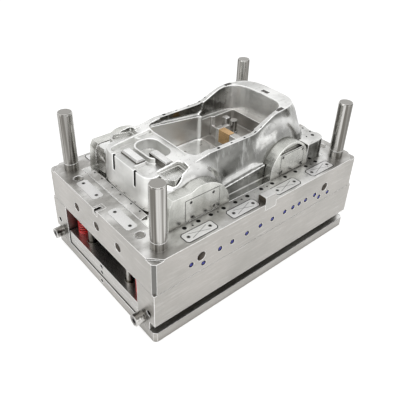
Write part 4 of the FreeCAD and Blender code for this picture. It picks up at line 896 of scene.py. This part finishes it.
# Rows of screws and dowels on the parting face and the arch plates
BLACK_ROW = (-388, -318, -253, -184, -119, -49, 35, 104, 188, 258, 331, 400)
DOWEL_ROW = ((-352, 316), (-219, 313), (-84, 311), (69, 311), (364, 312))
WEAR_SCREWS = ((-408, -301), (-175, -66), (82, 192), (313, 422))
END_SCREWS = ((189, 81), (-62, -170))
STRIP_SCREWS = (221, 161, 77, 14, -65, -127)
FRONT_PLATE_SCREWS = ((-342, 91), (-228, 91), (-222, 21), (-336, 19))
REAR_PLATE_SCREWS = ((180, 94), (311, 94), (311, 22), (180, 22))
FOOT_HOLES = ((455, 213, 5), (438, 242, 8), (402, 234, 5), (454, 169, 5))
BLACK_Y = 309
WEAR_Y = 359
END_X = 544
BLACK_RADIUS = 9.0
DOWEL_RADIUS = 4.0
WEAR_SCREW_RADIUS = 6.5
ARCH_SCREW_RADIUS = 6.0
CROSS_REACH = (44, 15)


def wear_outline(low, high, bevel=8.0):
    """Corners of a wear plate, running counter-clockwise."""
    x0, y0, x1, y1 = low.x / MM, low.y / MM, high.x / MM, high.y / MM
    return [(x1 - bevel, y0), (x1, y0 + bevel), (x1, y1 - bevel), (x1 - bevel, y1),
            (x0 + bevel, y1), (x0, y1 - bevel), (x0, y0 + bevel), (x0 + bevel, y0)]


def dress_parting_face():
    for sign in (-1, 1):
        for x in BLACK_ROW:
            dark_hole(TOP, (x, sign * BLACK_Y), BLACK_RADIUS)
        for x, y in DOWEL_ROW:
            dark_hole(TOP, (x, sign * y), DOWEL_RADIUS)
        for x, y, radius in FOOT_HOLES:
            dark_hole(FOOT_TOP, (x, sign * y), radius)
        for index, pair in enumerate(WEAR_SCREWS, start=1):
            side = "near" if sign < 0 else "far"
            low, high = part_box(f"wear_plate_{side}_{index}")
            outline = wear_outline(low, high)
            ribbon(lines.work, TOP, outline, 3.6, -0.3, 0.35)
            for x in pair:
                socket_screw(WEAR_TOP, (x, sign * WEAR_Y), WEAR_SCREW_RADIUS)
            middle = (pair[0] + pair[1]) / 2
            for reach in (-1, 1):
                start = (middle - CROSS_REACH[0], sign * WEAR_Y - CROSS_REACH[1] * reach)
                stop = (middle + CROSS_REACH[0], sign * WEAR_Y + CROSS_REACH[1] * reach)
                bar_line(lines.work, WEAR_TOP, start, stop, 1.3, -0.2, 0.15)
    for sign in (-1, 1):
        for pair in END_SCREWS:
            for y in pair:
                socket_screw(WEAR_TOP, (sign * END_X, y), WEAR_SCREW_RADIUS)
    for y in STRIP_SCREWS:
        dark_hole(STRIP_TOP, (y, 0), DOWEL_RADIUS)


PORT_X = (-425, -363, -278, -212, -129, -49, 24, 103, 157, 200, 244, 308, 344, 408)
LOWER_PORTS = (-363, 344, 408)
UPPER_PORT_Z = -101
LOWER_PORT_Z = -128
PORT_FACE = Face((0, -400, PARTING), (0, -1, 0), (1, 0, 0))
BACK_FACE = Face((0, 400, PARTING), (0, 1, 0), (-1, 0, 0))
FRONT_FACE = Face((-600, 0, PARTING), (-1, 0, 0), (0, -1, 0))
REAR_FACE = Face((600, 0, PARTING), (1, 0, 0), (0, 1, 0))
LIFT_Z = -85
LIFT_Y = (-162, 0, 162)
LIFT_X = (-375, 375)
LIFT_RADIUS = 20.95
THREAD_DEPTH = 1.6
THREAD_TURNS = 8
THREAD_PITCH = 4.5
THREAD_START = -3


def dress_ports():
    """Blue plugs sunk in the ports, each with a dark socket; the socket and the dark bore round the plug are
    painted shade.
    """
    plugs = Set("port_plug_bodies", PLUG, "plug_blue")
    for x in PORT_X:
        place = (x, LOWER_PORT_Z if x in LOWER_PORTS else UPPER_PORT_Z)
        lathe(holes.work, PORT_FACE, place, [(11.95, -16), (11.95, -0.4), (6.4, -1.4)])
        lathe(plugs.work, PORT_FACE, place, [(6.4, -6), (6.4, -1.0), (5.6, -0.5), (3.0, -0.5), (2.6, -1.2)])
        lathe(holes.work, PORT_FACE, place, [(2.6, -5), (2.6, -1.0)], 6)
    piece = plugs.finish()
    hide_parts("water_port_plugs")


def thread(face, place):
    """Ridged sleeve that lines the mouth of a lifting hole, with a dark disc of painted shade at the bottom.
    """
    profile = [(LIFT_RADIUS, THREAD_START - THREAD_TURNS * THREAD_PITCH)]
    for turn in range(THREAD_TURNS, 0, -1):
        profile.append((LIFT_RADIUS - THREAD_DEPTH, THREAD_START - (turn - 0.5) * THREAD_PITCH))
        profile.append((LIFT_RADIUS, THREAD_START - (turn - 1) * THREAD_PITCH))
    turned(threads.work, face, place, profile, 32)
    lathe(holes.work, face, place, [(LIFT_RADIUS, -44), (LIFT_RADIUS, -42)])


def dress_lifting_holes():
    for faces, places in (((FRONT_FACE, REAR_FACE), LIFT_Y), ((PORT_FACE, BACK_FACE), LIFT_X)):
        for face in faces:
            for place in places:
                thread(face, (place, LIFT_Z))


FOOT_Y = 328
FOOT_END = -648
FOOT_Z = 102


def dress_feet():
    """Socket in the end of each stand-off, its inside a dark disc of painted shade."""
    for y in (-FOOT_Y, FOOT_Y):
        face = Face((FOOT_END, y, FOOT_Z), (-1, 0, 0), (0, -1, 0))
        lathe(heads.work, face, (0, 0), [(17, -0.5), (17, 0.02), (16, 0.05)])
        lathe(holes.work, face, (0, 0), [(10, -0.5), (10, 0.08)])


# Heights of the joints from the parting face, and where the lines run beside the ejector space
SEAM_HEIGHTS = (-160, -370)
SEAM_SIDE_REACH = 586
SEAM_END_RUNS = ((-386, -286), (286, 386))


def dress_seams():
    """Dark joints between the plates, seen from the four sides."""
    for height in SEAM_HEIGHTS:
        for face in (PORT_FACE, BACK_FACE):
            bar_line(lines.work, face, (-SEAM_SIDE_REACH, height), (SEAM_SIDE_REACH, height), 1.2, -0.3, 0.05)
        for face in (FRONT_FACE, REAR_FACE):
            for start, stop in SEAM_END_RUNS:
                bar_line(lines.work, face, (start, height), (stop, height), 1.6, -0.3, 0.05)


# Frames of the front and the rear arch plate: its two ends, and its foot and top above the parting face
PLATE_FRAMES = (((-370, -194), (5, 107)), ((168, 322), (1, 106)))


def plate_frame(face, ends, heights):
    (left, right), (foot, top) = ends, heights
    ribbon(lines.work, face, [(left, foot), (left, top), (right, top), (right, foot)], 1.5, -0.3, 0.3)


def dress_arches():
    for face, sign in ((ARCH_NEAR, 1), (ARCH_FAR, -1)):
        for x, z in FRONT_PLATE_SCREWS + REAR_PLATE_SCREWS:
            socket_screw(face, (sign * x, z), ARCH_SCREW_RADIUS)
        for ends, heights in PLATE_FRAMES:
            plate_frame(face, sorted(sign * x for x in ends), heights)


def draped_bar(work, start, stop, width, lift=0.3, depth=1.2, steps=6):
    """Thin bar that follows the form's surface between two places in plan."""
    start = Vector(start)
    run = Vector(stop) - start
    off = Vector((-run.y, run.x)).normalized() * width / 2
    rings = []
    for step in range(steps + 1):
        ring = []
        for side, rise in ((-1, -depth), (1, -depth), (1, lift), (-1, lift)):
            spot = start + run * (step / steps) + off * side
            hit = form_surface.ray_cast(Vector((spot.x * MM, spot.y * MM, 0.75)), Vector((0, 0, -1)))[0]
            if hit is None:
                return
            ring.append(work.verts.new((hit.x, hit.y, hit.z + rise * MM)))
        rings.append(ring)
    work.faces.new(rings[0])
    work.faces.new(list(reversed(rings[-1])))
    for first, second in zip(rings, rings[1:]):
        for side in range(4):
            beside = (side + 1) % 4
            work.faces.new((first[side], second[side], second[beside], first[beside]))


SLOT_Y = 76
SLOT_Z = (PARTING + 96, PARTING + 166)
SLOT_WIDTH = 11.0
SLOT_X = -454.2

# The bumper leans back by one in thirty
SLOT_NORMAL = (-1, 0, 1 / 30)

# Width of the dark gap round each ejector blade
SEAT_GAP = 2.4

# Place along X and Y, length and width of each small pocket in the rim, drawn as a dark bar of painted shade
RIM_MARKS = ((-115, 186, 14, 11), (-43, 187, 10, 6), (30, 189, 10, 6), (95, 188, 11, 6), (130, 187, 8, 5))


def blade_boxes():
    """Plan boxes of the ejector blades, in millimetres: near, middle and far."""
    tops = [vert.co.xy / MM for vert in NODES["ejector_blades"].data.vertices if vert.co.z > 0.6]
    near = [spot for spot in tops if spot.y < -100]
    middle = [spot for spot in tops if abs(spot.y) < 100]
    far = [spot for spot in tops if spot.y > 100]
    boxes = []
    for group in (near, middle, far):
        low = Vector((min(spot.x for spot in group), min(spot.y for spot in group)))
        high = Vector((max(spot.x for spot in group), max(spot.y for spot in group)))
        boxes.append((low, high))
    return boxes


def dress_form():
    """Dark slots of the bumper and small pockets along the rim as bars of painted shade, and the dark gaps
    round the blade seats.
    """
    for sign in (-1, 1):
        face = Face((SLOT_X, sign * SLOT_Y, (SLOT_Z[0] + SLOT_Z[1]) / 2), SLOT_NORMAL, (0, -1, 0))
        half = (SLOT_Z[1] - SLOT_Z[0]) / 2
        bar_line(holes.work, face, (0, -half), (0, half), SLOT_WIDTH, -8, -0.6)
        for x, y, length, width in RIM_MARKS:
            draped_bar(holes.work, (x - length / 2, sign * y), (x + length / 2, sign * y), width)
    for low, high in blade_boxes():
        middle = (low + high) / 2
        reach = (high - low) / 2
        for side in (-1, 1):
            x = middle.x + side * (reach.x + SEAT_GAP / 2)
            draped_bar(holes.work, (x, low.y - SEAT_GAP), (x, high.y + SEAT_GAP), SEAT_GAP)
            y = middle.y + side * (reach.y + SEAT_GAP / 2)
            draped_bar(holes.work, (low.x - SEAT_GAP, y), (high.x + SEAT_GAP, y), SEAT_GAP)


dress_parting_face()
dress_form()
dress_arches()
dress_ports()
dress_lifting_holes()
dress_feet()
dress_seams()
for batch in (holes, heads, lines, threads):
    batch.finish()
